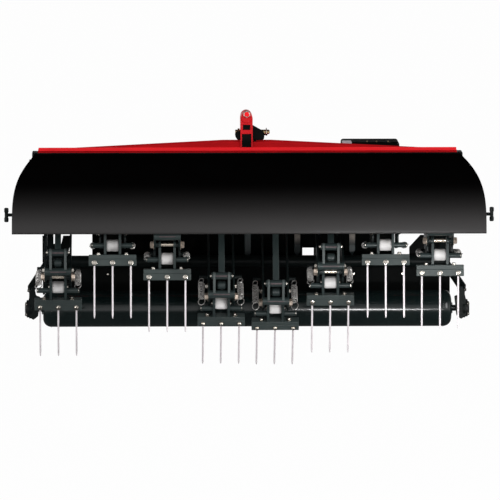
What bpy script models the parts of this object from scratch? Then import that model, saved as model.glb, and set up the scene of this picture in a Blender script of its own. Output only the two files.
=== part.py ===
"""Tractor-mounted deep tine aerator with eight swinging tine heads.

Metres, +Z up, +Y forwards to the tractor, +X to the right seen from behind.
The origin is the middle of the two lower hitch pins.
"""

import math

import bmesh
import bpy
from mathutils import Matrix, Vector

# Fits
GAP = 0.0003
SEAM = 0.002

# Tine layout: the tines stand evenly across the working width
TINE_PITCH = 0.074
TINES_PER_HEAD = 3
HEAD_PITCH = TINE_PITCH * TINES_PER_HEAD
REST_ANGLES_DEG = (19, -8, 0, 33, 38, 16, -8, -2)
HEAD_X = [(i - (len(REST_ANGLES_DEG) - 1) / 2) * HEAD_PITCH for i in range(len(REST_ANGLES_DEG))]

# Shaft lines, as (y, z)
PIVOT = (-0.230, 0.066)
CRANK = (-0.370, 0.210)
FRONT_TUBE = (-0.110, 0.045)
ROLLER_AXIS = (-0.290, -0.275)
TORSION_TUBE = (-0.150, -0.095)
PIVOT_SHAFT_RADIUS = 0.020
CRANK_SHAFT_RADIUS = 0.016
FRONT_TUBE_RADIUS = 0.030

# Side plates, just inside the ends of the tine rows
PLATE_END_GAP = 0.003
PLATE_INSIDE = HEAD_PITCH * len(REST_ANGLES_DEG) / 2 - PLATE_END_GAP
PLATE_THICKNESS = 0.012
PLATE_MARGIN = 0.040
BEARING_RADIUS = 0.045
BEARING_DEPTH = 0.015

# Swinging arm, in its own frame: the pivot shaft is the origin, and the head hangs from its rear end
ARM_REACH = 0.420
STUB_DROP = 0.100
CHEEK_INSIDE = 0.0465
CHEEK_THICKNESS = 0.008
EYE_RADIUS = 0.034
KICK_PIN_RADIUS = 0.008
TOP_PIN_RADIUS = 0.009
TUBE_RADIUS = 0.011
ANCHOR_RADIUS = 0.0085
STOP_RADIUS = 0.010
KICK_PIN_RISE = 0.061
CROSS_TUBE_RISE = 0.090
CROSS_TUBE_AHEAD = 0.020
TOP_PIN_RISE = 0.170
ANCHOR_AHEAD = 0.260
ANCHOR_DROP = 0.030
STUB_AXIS = (-ARM_REACH, -STUB_DROP)
KICK_PIN = (-ARM_REACH, -STUB_DROP + KICK_PIN_RISE)
CROSS_TUBE = (-ARM_REACH + CROSS_TUBE_AHEAD, -STUB_DROP + CROSS_TUBE_RISE)
TOP_PIN = (-ARM_REACH, -STUB_DROP + TOP_PIN_RISE)
ANCHOR_BAR = (-ARM_REACH + ANCHOR_AHEAD, -STUB_DROP - ANCHOR_DROP)

# Tine holder
HOLDER_PLATE_INSIDE = 0.025
HOLDER_PLATE_THICKNESS = 0.010
HOLDER_PLATE_DEPTH = 0.034
STUB_RADIUS = 0.0095
CLAMP_END = 0.023
CLAMP_WIDTH = TINE_PITCH * (TINES_PER_HEAD - 1) + 2 * CLAMP_END
CLAMP_HEIGHT = 0.045
CLAMP_DEPTH = 0.032
CLAMP_DROP = 0.0605
TINE_RADIUS = 0.0048
TINE_DROP = 0.297
TINE_POINT = 0.014
BUMPER_RADIUS = 0.0245

# Springs: drawn from the stub shaft forwards to the anchor bar
SPRING_X = 0.080
SPRING_SEAT = 0.008
STUB_LENGTH = SPRING_X + SPRING_SEAT
SPRING_WIRE_RADIUS = 0.0023
SPRING_COIL_RADIUS = 0.0130
SPRING_CURLS = 3
SPRING_PITCH = 0.0330
SPRING_REAR_LEAD = 0.040
POINTS_PER_CURL = 8

# Connecting rods and crank arms
ROD_WIDTH = 0.025
ROD_DEPTH = 0.020
ROD_EYE_RADIUS = 0.0145
BIG_END_RADIUS = 0.022
BIG_END_HALF = 0.0172
CRANK_ARM_THICKNESS = 0.0225
CRANK_HUB_RADIUS = 0.026

# Crank linkage: the crank's throw and the rod's length follow from the arm's stroke
STROKE_DEG = (-14, 43)
CRANK_SPARE = 0.003

# Top beam and mast
BEAM_Y = (-0.350, -0.250)
BEAM_BOTTOM = 0.352
BEAM_TOP_MIDDLE = 0.420
BEAM_TOP_END = 0.388
BEAM_FLAT_MIDDLE = 0.100
BEAM_FLAT_END = 0.720
STRIP_HALF = PLATE_INSIDE - 0.010
STRIP_DEPTH = 0.006
STRIP_Z = (BEAM_TOP_END - 0.005, BEAM_TOP_END + 0.009)
MAST_HALF = 0.0295
MAST_WALL = 0.008
MAST_Y = (-0.356, -0.236)
MAST_RISE = 0.102
MAST_NECK_TOP = BEAM_TOP_MIDDLE + MAST_RISE
MAST_CAP_RADIUS = 0.027
MAST_POCKET = 0.028
LINK_SLOT_HALF = 0.028
LINK_SLOT_DEPTH = 0.078
TOP_LINK_RISE = 0.0363
TOP_LINK_PIN = (-0.300, BEAM_TOP_MIDDLE + TOP_LINK_RISE)
TOP_LINK_PIN_RADIUS = 0.0095
MAST_BAR = 0.017
MAST_WINDOW = 0.021
MAST_WINDOW_HALF = 0.015
TOP_LINK_PIN_X = (-0.050, 0.092)

# Hood: a sheet rolled over the heads, wider where it comes down behind them
HOOD_HINGE_RADIUS = 0.006
HOOD_HINGE_RISE = 0.018
HOOD_HINGE = (BEAM_Y[0] - HOOD_HINGE_RADIUS - GAP, BEAM_BOTTOM + HOOD_HINGE_RISE)
HOOD_SHEET = 0.004
HOOD_DEPTH_SPARE = 0.065
HOOD_BOTTOM = (PIVOT[0] - ARM_REACH - HOOD_DEPTH_SPARE, 0.078)
HOOD_STEPS = 9
HOOD_LIP = 0.018
HOOD_FLARE = 0.088
HOOD_HALF_HINGE = PLATE_INSIDE - 0.010
HOOD_HALF_BOTTOM = HOOD_HALF_HINGE + HOOD_FLARE
PEG_Z = 0.160
PEG_BLOCK_HALF = 0.016
PEG_OUT = 0.027
PEG_REACH = HOOD_HALF_BOTTOM + PEG_OUT
PEG_HEIGHT = 0.072

# Roller and its frame
ROLLER_RADIUS = 0.075
ROLLER_WALL = 0.006
ROLLER_END_GAP = 0.055
ROLLER_HALF = PLATE_INSIDE - ROLLER_END_GAP
ROLLER_AXLE_RADIUS = 0.0125
ROLLER_AXLE_BORE = 0.006
ROLLER_PLATE_INSIDE = PLATE_INSIDE + PLATE_END_GAP
ROLLER_PLATE_THICKNESS = 0.012
ROLLER_ARM_WIDTH = 0.040
ROLLER_ARM_INSET = 0.045
ROLLER_ARM_X = PLATE_INSIDE - ROLLER_ARM_INSET - ROLLER_ARM_WIDTH / 2
ROLLER_ARM_DEPTH = 0.030
TORSION_TUBE_RADIUS = 0.025
END_PLATE_AHEAD = 0.055
END_PLATE_RISE = 0.075
END_PLATE_RADIUS = 0.040
DEFLECTOR_HALF = ROLLER_ARM_X - 0.030
DEFLECTOR_Z = (-0.235, -0.075)
SHEET_THICKNESS = 0.005

# Gearbox and input shaft
GEARBOX_X = (0.385, 0.495)
GEARBOX_WALL = 0.024
GEARBOX_FRONT = 0.050
BEARING_SEAT = CRANK_SHAFT_RADIUS + GEARBOX_WALL
GEARBOX_Y = (CRANK[0] - BEARING_SEAT, FRONT_TUBE[0] + GEARBOX_FRONT)
GEARBOX_Z = (CRANK[1] - BEARING_SEAT - 0.015, BEAM_BOTTOM - 0.017)
GEARBOX_COVER_X = (0.374, 0.607)
GEARBOX_COVER_TOP = GEARBOX_Z[1] + 0.070
INPUT_Z = 0.240
INPUT_RADIUS = 0.0175
INPUT_LENGTH = 0.095
SPLINES = 6

# Lower hitch lugs on the front tube
LOWER_PIN_X = 0.3415
LOWER_LUG_GAP = 0.060
LOWER_LUG_THICKNESS = 0.012
LOWER_PIN_RADIUS = 0.011

# Front shield behind the front tube, in two sheets beside the gearbox
SHIELD_X = ((-0.640, LOWER_PIN_X + LOWER_LUG_GAP / 2 + SEAM), (0.510, 0.610))
SHIELD_Z = (-0.085, 0.318)
SHIELD_NOTCH_X = (0.214, 0.260)
SHIELD_NOTCH_TOP = -0.046

# Finishes: colour, roughness, metallic
BLACK = ("black_paint", (0.014, 0.018, 0.020), 0.38, 0.0)
RED = ("red_paint", (0.60, 0.010, 0.014), 0.32, 0.0)
STEEL = ("bright_steel", (0.55, 0.54, 0.55), 0.35, 1.0)
SPRING = ("spring_steel", (0.03, 0.03, 0.03), 0.40, 1.0)
BRASS = ("zinc_yellow", (0.62, 0.45, 0.22), 0.35, 1.0)
WHITE = ("white_plastic", (0.80, 0.78, 0.76), 0.45, 0.0)


def clear_scene():
    """Empties the scene."""
    for thing in list(bpy.data.objects):
        bpy.data.objects.remove(thing, do_unlink=True)


def finish_of(name, finish):
    """A material of its own for one object."""
    title, colour, roughness, metallic = finish
    material = bpy.data.materials.new(f"{name}_{title}")
    material.use_nodes = True
    shader = material.node_tree.nodes["Principled BSDF"]
    shader.inputs["Base Color"].default_value = (*colour, 1.0)
    shader.inputs["Roughness"].default_value = roughness
    shader.inputs["Metallic"].default_value = metallic
    return material


def mesh_from(bm):
    """The bmesh as mesh data, with its faces pointing out."""
    bmesh.ops.recalc_face_normals(bm, faces=bm.faces)
    mesh = bpy.data.meshes.new("shape")
    bm.to_mesh(mesh)
    bm.free()
    return mesh


def block(low, high, chamfer=0.0):
    """A box between two corners."""
    low, high = Vector(low), Vector(high)
    bm = bmesh.new()
    bmesh.ops.create_cube(bm, size=1.0)
    bmesh.ops.scale(bm, vec=high - low, verts=bm.verts)
    bmesh.ops.translate(bm, vec=(low + high) / 2, verts=bm.verts)
    if chamfer:
        bmesh.ops.bevel(bm, geom=bm.edges, offset=chamfer, segments=1, affect="EDGES")
    return mesh_from(bm)


def rod_shape(start, end, radius, sides=16, end_radius=None):
    """A round bar, or a cone, from one point to another."""
    start, end = Vector(start), Vector(end)
    bm = bmesh.new()
    bmesh.ops.create_cone(
        bm,
        cap_ends=True,
        segments=sides,
        radius1=radius,
        radius2=radius if end_radius is None else end_radius,
        depth=(end - start).length,
    )
    turn = (end - start).to_track_quat("Z", "Y").to_matrix().to_4x4()
    bmesh.ops.transform(bm, matrix=Matrix.Translation((start + end) / 2) @ turn, verts=bm.verts)
    return mesh_from(bm)


def cross_rod(point, low, high, radius, sides=16):
    """A round bar along X through a (y, z) point."""
    return rod_shape((low, *point), (high, *point), radius, sides)


def bar(start, end, width, depth):
    """A flat bar between two points, with its width across X where it can be."""
    start, end = Vector(start), Vector(end)
    along = end - start
    bm = bmesh.new()
    bmesh.ops.create_cube(bm, size=1.0)
    bmesh.ops.scale(bm, vec=(width, depth, along.length), verts=bm.verts)
    side = Vector((1, 0, 0)) - along * (along.x / along.length_squared)
    side.normalize()
    other = along.normalized().cross(side)
    turn = Matrix((side, other, along.normalized())).transposed().to_4x4()
    bmesh.ops.transform(bm, matrix=Matrix.Translation((start + end) / 2) @ turn, verts=bm.verts)
    return mesh_from(bm)


def plate(outline, low, high):
    """A plate with this (y, z) outline, from x = low to x = high."""
    bm = bmesh.new()
    face = bm.faces.new([bm.verts.new((low, y, z)) for y, z in outline])
    grown = bmesh.ops.extrude_face_region(bm, geom=[face])
    moved = [part for part in grown["geom"] if isinstance(part, bmesh.types.BMVert)]
    bmesh.ops.translate(bm, vec=(high - low, 0, 0), verts=moved)
    return mesh_from(bm)


def lathe(profile, sides):
    """A closed (x, radius) profile turned about X."""
    bm = bmesh.new()
    rings = []
    for i in range(sides):
        angle = math.tau * i / sides
        rings.append([bm.verts.new((x, r * math.cos(angle), r * math.sin(angle))) for x, r in profile])
    for here, there in zip(rings, rings[1:] + rings[:1]):
        for j in range(len(profile)):
            k = (j + 1) % len(profile)
            bm.faces.new((here[j], here[k], there[k], there[j]))
    return mesh_from(bm)


def bore_radius(pin_radius, sides):
    """The corner radius of a faceted bore whose flats clear a round pin by the gap."""
    return (pin_radius + GAP) / math.cos(math.pi / sides)


def ring(point, low, high, outer, bore, sides=20):
    """A tube along X around a (y, z) point."""
    mesh = lathe([(low, bore), (low, outer), (high, outer), (high, bore)], sides)
    mesh.transform(Matrix.Translation((0, *point)))
    return mesh


def lathe_up(profile, sides):
    """A solid turned about Z, through these (z, radius) levels."""
    bm = bmesh.new()
    rings = []
    for z, radius in profile:
        turns = [math.tau * i / sides for i in range(sides)]
        rings.append([bm.verts.new((radius * math.cos(a), radius * math.sin(a), z)) for a in turns])
    for here, there in zip(rings, rings[1:]):
        for i in range(sides):
            j = (i + 1) % sides
            bm.faces.new((here[i], here[j], there[j], there[i]))
    bm.faces.new(rings[0])
    bm.faces.new(rings[-1])
    return mesh_from(bm)


def capsule(start, end, start_radius, end_radius, steps=5):
    """The outline of a link: two round ends joined by straight sides."""
    heading = math.atan2(end[1] - start[1], end[0] - start[0])
    outline = []
    tip, root = heading - math.pi / 2, heading + math.pi / 2
    for centre, radius, first in ((end, end_radius, tip), (start, start_radius, root)):
        for i in range(steps + 1):
            angle = first + math.pi * i / steps
            outline.append((centre[0] + radius * math.cos(angle), centre[1] + radius * math.sin(angle)))
    return outline


def helpers(shapes, title):
    """Short-lived objects in a collection that a Boolean can read."""
    group = bpy.data.collections.new(title)
    bpy.context.scene.collection.children.link(group)
    for shape in shapes:
        group.objects.link(bpy.data.objects.new(title, shape))
    return group


def weld(shapes, cuts=()):
    """One solid from several that overlap, with holes cut out of it."""
    base = bpy.data.objects.new("base", shapes[0])
    bpy.context.scene.collection.objects.link(base)
    groups = []
    for title, others, operation in (("joined", shapes[1:], "UNION"), ("cut", cuts, "DIFFERENCE")):
        if others:
            group = helpers(others, title)
            groups.append(group)
            modifier = base.modifiers.new(title, "BOOLEAN")
            modifier.operation = operation
            modifier.solver = "EXACT"
            modifier.operand_type = "COLLECTION"
            modifier.collection = group
    graph = bpy.context.evaluated_depsgraph_get()
    mesh = bpy.data.meshes.new_from_object(base.evaluated_get(graph))
    for group in groups:
        for thing in list(group.objects):
            bpy.data.objects.remove(thing, do_unlink=True)
        bpy.data.collections.remove(group)
    bpy.data.objects.remove(base, do_unlink=True)
    return mesh


def place(name, data, finish, parent=None, location=(0, 0, 0), angle=0.0):
    """A named object with its own finish, round faces smooth."""
    thing = bpy.data.objects.new(name, data)
    bpy.context.scene.collection.objects.link(thing)
    thing.location = location
    thing.rotation_euler.x = angle
    thing.parent = parent
    if isinstance(data, bpy.types.Mesh):
        data.shade_smooth()
        data.set_sharp_from_angle(angle=math.radians(35))
    if not data.materials:
        data.materials.append(None)
    thing.material_slots[0].link = "OBJECT"
    thing.material_slots[0].material = finish_of(name, finish)
    return thing


def axis_empty(name, point, x, angle, parent=None):
    """An empty on a joint's axis."""
    empty = bpy.data.objects.new(name, None)
    bpy.context.scene.collection.objects.link(empty)
    empty.location = (x, *point)
    empty.rotation_euler.x = angle
    empty.parent = parent
    return empty


def turned(point, angle):
    """A (y, z) point turned about X."""
    y, z = point
    return (y * math.cos(angle) - z * math.sin(angle), y * math.sin(angle) + z * math.cos(angle))


def top_pin_at(angle):
    """Where the arm's top pin stands when the arm is at this angle."""
    y, z = turned(TOP_PIN, angle)
    return (PIVOT[0] + y, PIVOT[1] + z)


def linkage():
    """(rod length, crank throw) that carry the arm over its stroke."""
    pins = [top_pin_at(math.radians(degrees)) for degrees in STROKE_DEG]
    near, far = sorted(math.dist(pin, CRANK) for pin in pins)
    return (near + far) / 2, (far - near) / 2 + CRANK_SPARE


def rod_heading(angle):
    """The rod's heading from the top pin to its crank pin, on the crank circle's upper side."""
    pin = top_pin_at(angle)
    dy, dz = CRANK[0] - pin[0], CRANK[1] - pin[1]
    reach = math.hypot(dy, dz)
    rod, throw = linkage()
    opening = math.acos((rod**2 + reach**2 - throw**2) / (2 * rod * reach))
    return math.atan2(dz, dy) + opening


def crank_pin_at(angle):
    """The crank pin that belongs to an arm at this angle."""
    pin, heading = top_pin_at(angle), rod_heading(angle)
    rod = linkage()[0]
    return (pin[0] + rod * math.cos(heading), pin[1] + rod * math.sin(heading))


def arm_mesh():
    """Arm weldment: two cheeks, the pivot eye, the fork for the rod, and the cross bars."""
    outside = CHEEK_INSIDE + CHEEK_THICKNESS
    between = CHEEK_INSIDE + SEAM
    stub_y, stub_z = STUB_AXIS
    pin_y, pin_z = KICK_PIN
    lug_y, lug_z = ANCHOR_BAR
    stop = (stub_y + BUMPER_RADIUS + GAP + STOP_RADIUS, stub_z)
    clear_y = stub_y + STUB_RADIUS + 0.007
    cheek = [
        (0.030, 0.018),
        (-ARM_REACH + 0.060, 0.030),
        (-ARM_REACH + 0.015, CROSS_TUBE[1] + 0.030),
        (pin_y - 0.018, pin_z + 0.026),
        (pin_y - 0.018, pin_z - 0.012),
        (clear_y, pin_z - 0.023),
        (clear_y, stub_z - 0.008),
        (stop[0] + 0.016, stub_z - 0.010),
        (stop[0] + 0.030, -0.045),
        (lug_y - 0.030, -0.035),
        (lug_y - 0.013, lug_z - 0.012),
        (lug_y + 0.013, lug_z - 0.012),
        (lug_y + 0.030, -0.030),
        (0.030, -0.018),
    ]
    fork = capsule(CROSS_TUBE, TOP_PIN, 0.014, 0.016, 2)
    shapes = [cross_rod((0, 0), -outside, outside, EYE_RADIUS, 12)]
    shapes += [plate(cheek, CHEEK_INSIDE, outside), plate(cheek, -outside, -CHEEK_INSIDE)]
    for low in (HOLDER_PLATE_INSIDE, -HOLDER_PLATE_INSIDE - HOLDER_PLATE_THICKNESS):
        shapes.append(plate(fork, low, low + HOLDER_PLATE_THICKNESS))
    shapes.append(cross_rod(CROSS_TUBE, -between, between, TUBE_RADIUS, 8))
    shapes.append(cross_rod(KICK_PIN, -between, between, KICK_PIN_RADIUS, 8))
    shapes.append(cross_rod(stop, -between, between, STOP_RADIUS, 8))
    fork_seam = HOLDER_PLATE_INSIDE + SEAM
    shapes.append(cross_rod(TOP_PIN, -fork_seam, fork_seam, TOP_PIN_RADIUS, 8))
    for side in (-1, 1):
        shapes.append(cross_rod(ANCHOR_BAR, side * (outside - SEAM), side * STUB_LENGTH, ANCHOR_RADIUS, 8))
    bore = cross_rod((0, 0), -outside - SEAM, outside + SEAM, bore_radius(PIVOT_SHAFT_RADIUS, 12), 12)
    return weld(shapes, [bore])


def holder_mesh():
    """Tine holder about its kick pin: two plates, the stub shaft, the clamp bar and its tines."""
    drop = KICK_PIN[1] - STUB_AXIS[1]
    half = HOLDER_PLATE_DEPTH / 2
    clamp_z = -drop - CLAMP_DROP
    clamp_top = clamp_z + CLAMP_HEIGHT / 2
    clamp_bottom = clamp_z - CLAMP_HEIGHT / 2
    rear = -CLAMP_DEPTH / 2
    outline = [(half * math.cos(math.pi * i / 5), half * math.sin(math.pi * i / 5)) for i in range(6)]
    outline += [(-half + 0.001, clamp_top - SEAM), (half - 0.001, clamp_top - SEAM)]
    shapes = [block((-CLAMP_WIDTH / 2, rear, clamp_bottom), (CLAMP_WIDTH / 2, -rear, clamp_top))]
    for low in (HOLDER_PLATE_INSIDE, -HOLDER_PLATE_INSIDE - HOLDER_PLATE_THICKNESS):
        shapes.append(plate(outline, low, low + HOLDER_PLATE_THICKNESS))
    shapes.append(cross_rod((0, -drop), -STUB_LENGTH, STUB_LENGTH, STUB_RADIUS, 8))
    for i in range(TINES_PER_HEAD):
        x = (i - (TINES_PER_HEAD - 1) / 2) * TINE_PITCH
        shapes.append(tine_mesh(x, clamp_bottom + SEAM, -drop - TINE_DROP))
    reach = HOLDER_PLATE_INSIDE + HOLDER_PLATE_THICKNESS + SEAM
    bore = cross_rod((0, 0), -reach, reach, bore_radius(KICK_PIN_RADIUS, 8), 8)
    return weld(shapes, [bore])


def tine_mesh(x, top, tip):
    """A tine: a round bar with a blunt point."""
    mesh = lathe_up([(top, TINE_RADIUS), (tip + TINE_POINT, TINE_RADIUS), (tip, TINE_RADIUS / 3)], 6)
    mesh.transform(Matrix.Translation((x, 0, 0)))
    return mesh


def bumper_mesh():
    """White bumper around the stub shaft, between the holder's plates."""
    half = HOLDER_PLATE_INSIDE - GAP
    return ring((0, STUB_AXIS[1] - KICK_PIN[1]), -half, half, BUMPER_RADIUS, bore_radius(STUB_RADIUS, 10), 10)


def rod_mesh():
    """Connecting rod along +Z from the top pin, with its two eyes."""
    half = HOLDER_PLATE_INSIDE - GAP
    length = linkage()[0]
    shapes = [ring((0, 0), -half, half, ROD_EYE_RADIUS, bore_radius(TOP_PIN_RADIUS, 10), 10)]
    shapes.append(bar((0, 0, ROD_EYE_RADIUS - SEAM), (0, 0, length), ROD_WIDTH, ROD_DEPTH))
    shapes.append(cross_rod((0, length), -ROD_WIDTH / 2 - 0.003, BIG_END_HALF, BIG_END_RADIUS, 12))
    return weld(shapes)


def crankshaft_mesh():
    """Main shaft with one crank arm beside each rod."""
    reach = PLATE_INSIDE + PLATE_THICKNESS + BEARING_DEPTH + 0.004
    shapes = [cross_rod(CRANK, -reach, reach, CRANK_SHAFT_RADIUS, 12)]
    for x, degrees in zip(HEAD_X, REST_ANGLES_DEG):
        pin = crank_pin_at(math.radians(degrees))
        low = x + BIG_END_HALF + GAP
        arm = capsule(CRANK, pin, CRANK_HUB_RADIUS, BIG_END_RADIUS, 3)
        shapes.append(plate(arm, low, low + CRANK_ARM_THICKNESS))
    return weld(shapes)


def spring_curve():
    """Extension spring from the stub shaft, at the origin, forwards to the anchor bar along +Y."""
    length = math.dist(STUB_AXIS, ANCHOR_BAR) - STUB_RADIUS - ANCHOR_RADIUS - 2 * GAP
    start = STUB_RADIUS + GAP
    tube = 2 * SPRING_WIRE_RADIUS
    points = [(0, start, 0), (0, start + tube, 0)]
    coil_start = start + SPRING_REAR_LEAD
    turns = SPRING_CURLS * POINTS_PER_CURL
    for i in range(turns + 1):
        angle = math.tau * i / POINTS_PER_CURL
        y = coil_start + SPRING_PITCH * i / POINTS_PER_CURL
        points.append((SPRING_COIL_RADIUS * math.sin(angle), y, SPRING_COIL_RADIUS * math.cos(angle)))
    points += [(0, start + length - tube, 0), (0, start + length, 0)]
    print(f"spring: least gap to itself {least_gap(points) * 1000:.1f} mm")
    curve = bpy.data.curves.new("spring", "CURVE")
    curve.dimensions = "3D"
    curve.bevel_depth = SPRING_WIRE_RADIUS
    curve.bevel_resolution = 1
    curve.use_fill_caps = True
    spline = curve.splines.new("POLY")
    spline.points.add(len(points) - 1)
    for slot, point in zip(spline.points, points):
        slot.co = (*point, 1)
    return curve


def least_gap(points):
    """The least gap between lengths of the wire that lie at least half a curl apart."""
    apart = POINTS_PER_CURL // 2 + 1
    places = [Vector(point) for point in points]
    nearest = min(
        (places[i] - places[j]).length for i in range(len(places)) for j in range(i + apart, len(places))
    )
    return nearest - 2 * SPRING_WIRE_RADIUS


def hitch_frame_mesh():
    """Red weldment: the tapered top beam, its hinge strip and the upper link mast."""
    end = PLATE_INSIDE - GAP
    outline = [
        (-end, BEAM_BOTTOM),
        (end, BEAM_BOTTOM),
        (end, BEAM_TOP_END),
        (BEAM_FLAT_END, BEAM_TOP_END),
        (BEAM_FLAT_MIDDLE, BEAM_TOP_MIDDLE),
        (-BEAM_FLAT_MIDDLE, BEAM_TOP_MIDDLE),
        (-BEAM_FLAT_END, BEAM_TOP_END),
        (-end, BEAM_TOP_END),
    ]
    beam = plate(outline, -BEAM_Y[1], -BEAM_Y[0])
    beam.transform(Matrix.Rotation(-math.pi / 2, 4, "Z"))
    cap_z = MAST_NECK_TOP
    strip_y = BEAM_Y[0] - STRIP_DEPTH
    shapes = [beam]
    shapes.append(block((-STRIP_HALF, strip_y, STRIP_Z[0]), (STRIP_HALF, BEAM_Y[0] + SEAM, STRIP_Z[1])))
    shapes.append(block((-MAST_HALF, MAST_Y[0], STRIP_Z[0]), (MAST_HALF, MAST_Y[1], MAST_NECK_TOP)))
    cap_y = (MAST_Y[0] - 0.004, MAST_Y[1] + 0.004)
    shapes.append(rod_shape((0, cap_y[0], cap_z), (0, cap_y[1], cap_z), MAST_CAP_RADIUS, 12))
    bolt_z = MAST_NECK_TOP + 0.011
    shapes.append(rod_shape((0, MAST_Y[0], bolt_z), (0, MAST_Y[0] - 0.014, bolt_z), 0.0155, 6))
    shapes.append(rod_shape((0, MAST_Y[0], bolt_z), (0, MAST_Y[0] - 0.024, bolt_z), 0.0095, 8))
    inside = MAST_HALF - MAST_WALL
    floor = MAST_Y[0] + MAST_POCKET
    front = MAST_Y[0] - SEAM
    bar_low = TOP_LINK_PIN[1] - MAST_BAR * 0.37
    window = bar_low + MAST_BAR
    pin_reach = MAST_HALF + SEAM
    pin_bore = bore_radius(TOP_LINK_PIN_RADIUS, 12)
    cuts = [
        block((-inside, front, STRIP_Z[1] + 0.001), (inside, floor, bar_low)),
        block((-MAST_WINDOW_HALF, front, window), (MAST_WINDOW_HALF, floor, window + MAST_WINDOW)),
        block(
            (-inside, MAST_Y[1] - LINK_SLOT_DEPTH, TOP_LINK_PIN[1] - LINK_SLOT_HALF),
            (inside, MAST_Y[1] + SEAM, TOP_LINK_PIN[1] + LINK_SLOT_HALF),
        ),
        cross_rod(TOP_LINK_PIN, -pin_reach, pin_reach, pin_bore, 12),
    ]
    return weld(shapes, cuts)


def top_link_pin_mesh():
    """Upper link pin with its collar."""
    low, high = TOP_LINK_PIN_X
    collar = -MAST_HALF - GAP
    shapes = [cross_rod(TOP_LINK_PIN, low, high, TOP_LINK_PIN_RADIUS, 12)]
    shapes.append(cross_rod(TOP_LINK_PIN, collar - 0.008, collar, 0.0145, 12))
    return weld(shapes)


def side_plate_mesh(side):
    """Side plate with its crank bearing, bored for both shafts."""
    edge = PLATE_MARGIN
    outline = [
        (CRANK[0] - 2 * edge, CRANK[1] - 1.75 * edge),
        (CRANK[0] + edge / 2, CRANK[1] - 3 * edge),
        (PIVOT[0] - edge, PIVOT[1] - edge),
        (PIVOT[0] + edge, PIVOT[1] - edge),
        (FRONT_TUBE[0] - edge, FRONT_TUBE[1] - FRONT_TUBE_RADIUS),
        (FRONT_TUBE[0] + edge, FRONT_TUBE[1] - FRONT_TUBE_RADIUS),
        (FRONT_TUBE[0] + edge, FRONT_TUBE[1] + 1.5 * edge),
        (BEAM_Y[1] + edge, BEAM_BOTTOM),
        (BEAM_Y[1] + edge / 4, BEAM_TOP_END + edge / 4),
        (BEAM_Y[0] - edge / 8, BEAM_TOP_END + edge / 4),
        (BEAM_Y[0] - edge / 8, BEAM_BOTTOM + edge / 4),
        (CRANK[0] - edge, BEAM_BOTTOM + edge / 4),
        (CRANK[0] - 2 * edge, CRANK[1] + 2 * edge),
    ]
    outside = PLATE_INSIDE + PLATE_THICKNESS
    low, high = sorted((side * PLATE_INSIDE, side * outside))
    shapes = [plate(outline, low, high)]
    flange = (side * (outside - SEAM), side * (outside + BEARING_DEPTH))
    shapes.append(cross_rod(CRANK, *flange, BEARING_RADIUS, 16))
    far = side * (outside + BEARING_DEPTH + SEAM)
    near = side * (PLATE_INSIDE - SEAM)
    cuts = [
        cross_rod(CRANK, near, far, bore_radius(CRANK_SHAFT_RADIUS, 12), 12),
        cross_rod(PIVOT, near, far, bore_radius(PIVOT_SHAFT_RADIUS, 16), 16),
    ]
    return weld(shapes, cuts)


def pivot_shaft_mesh():
    """The fixed shaft that every arm swings on, with a cap at each end."""
    outside = PLATE_INSIDE + PLATE_THICKNESS
    shapes = [cross_rod(PIVOT, -outside - 0.002, outside + 0.002, PIVOT_SHAFT_RADIUS)]
    for side in (-1, 1):
        shapes.append(cross_rod(PIVOT, side * (outside + GAP), side * (outside + 0.010), 0.028))
    return weld(shapes)


def front_tube_mesh():
    """Front cross tube with the lower hitch lugs and pins."""
    end = PLATE_INSIDE - GAP
    y, z = FRONT_TUBE
    lug = [
        (y - 0.034, z + 0.020),
        (y + 0.020, z + 0.034),
        (0.012, 0.024),
        (0.024, 0.006),
        (0.020, -0.018),
        (-0.004, -0.024),
        (y - 0.020, z - 0.034),
    ]
    shapes = [cross_rod(FRONT_TUBE, -end, end, FRONT_TUBE_RADIUS)]
    half = LOWER_LUG_GAP / 2
    for side in (-1, 1):
        for near in (LOWER_PIN_X - half - LOWER_LUG_THICKNESS, LOWER_PIN_X + half):
            low, high = sorted((side * near, side * (near + LOWER_LUG_THICKNESS)))
            shapes.append(plate(lug, low, high))
        reach = half + LOWER_LUG_THICKNESS + 0.010
        ends = (side * (LOWER_PIN_X - reach), side * (LOWER_PIN_X + reach))
        shapes.append(cross_rod((0, 0), *ends, LOWER_PIN_RADIUS, 8))
    sheet_y = y + FRONT_TUBE_RADIUS - SHEET_THICKNESS / 2
    bottom, top = SHIELD_Z
    for low, high in SHIELD_X:
        shapes.append(block((low, sheet_y, bottom), (high, sheet_y + SHEET_THICKNESS, top)))
    notch = block(
        (SHIELD_NOTCH_X[0], sheet_y - SEAM, bottom - SEAM),
        (SHIELD_NOTCH_X[1], sheet_y + SHEET_THICKNESS + SEAM, SHIELD_NOTCH_TOP),
    )
    return weld(shapes, [notch])


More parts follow.
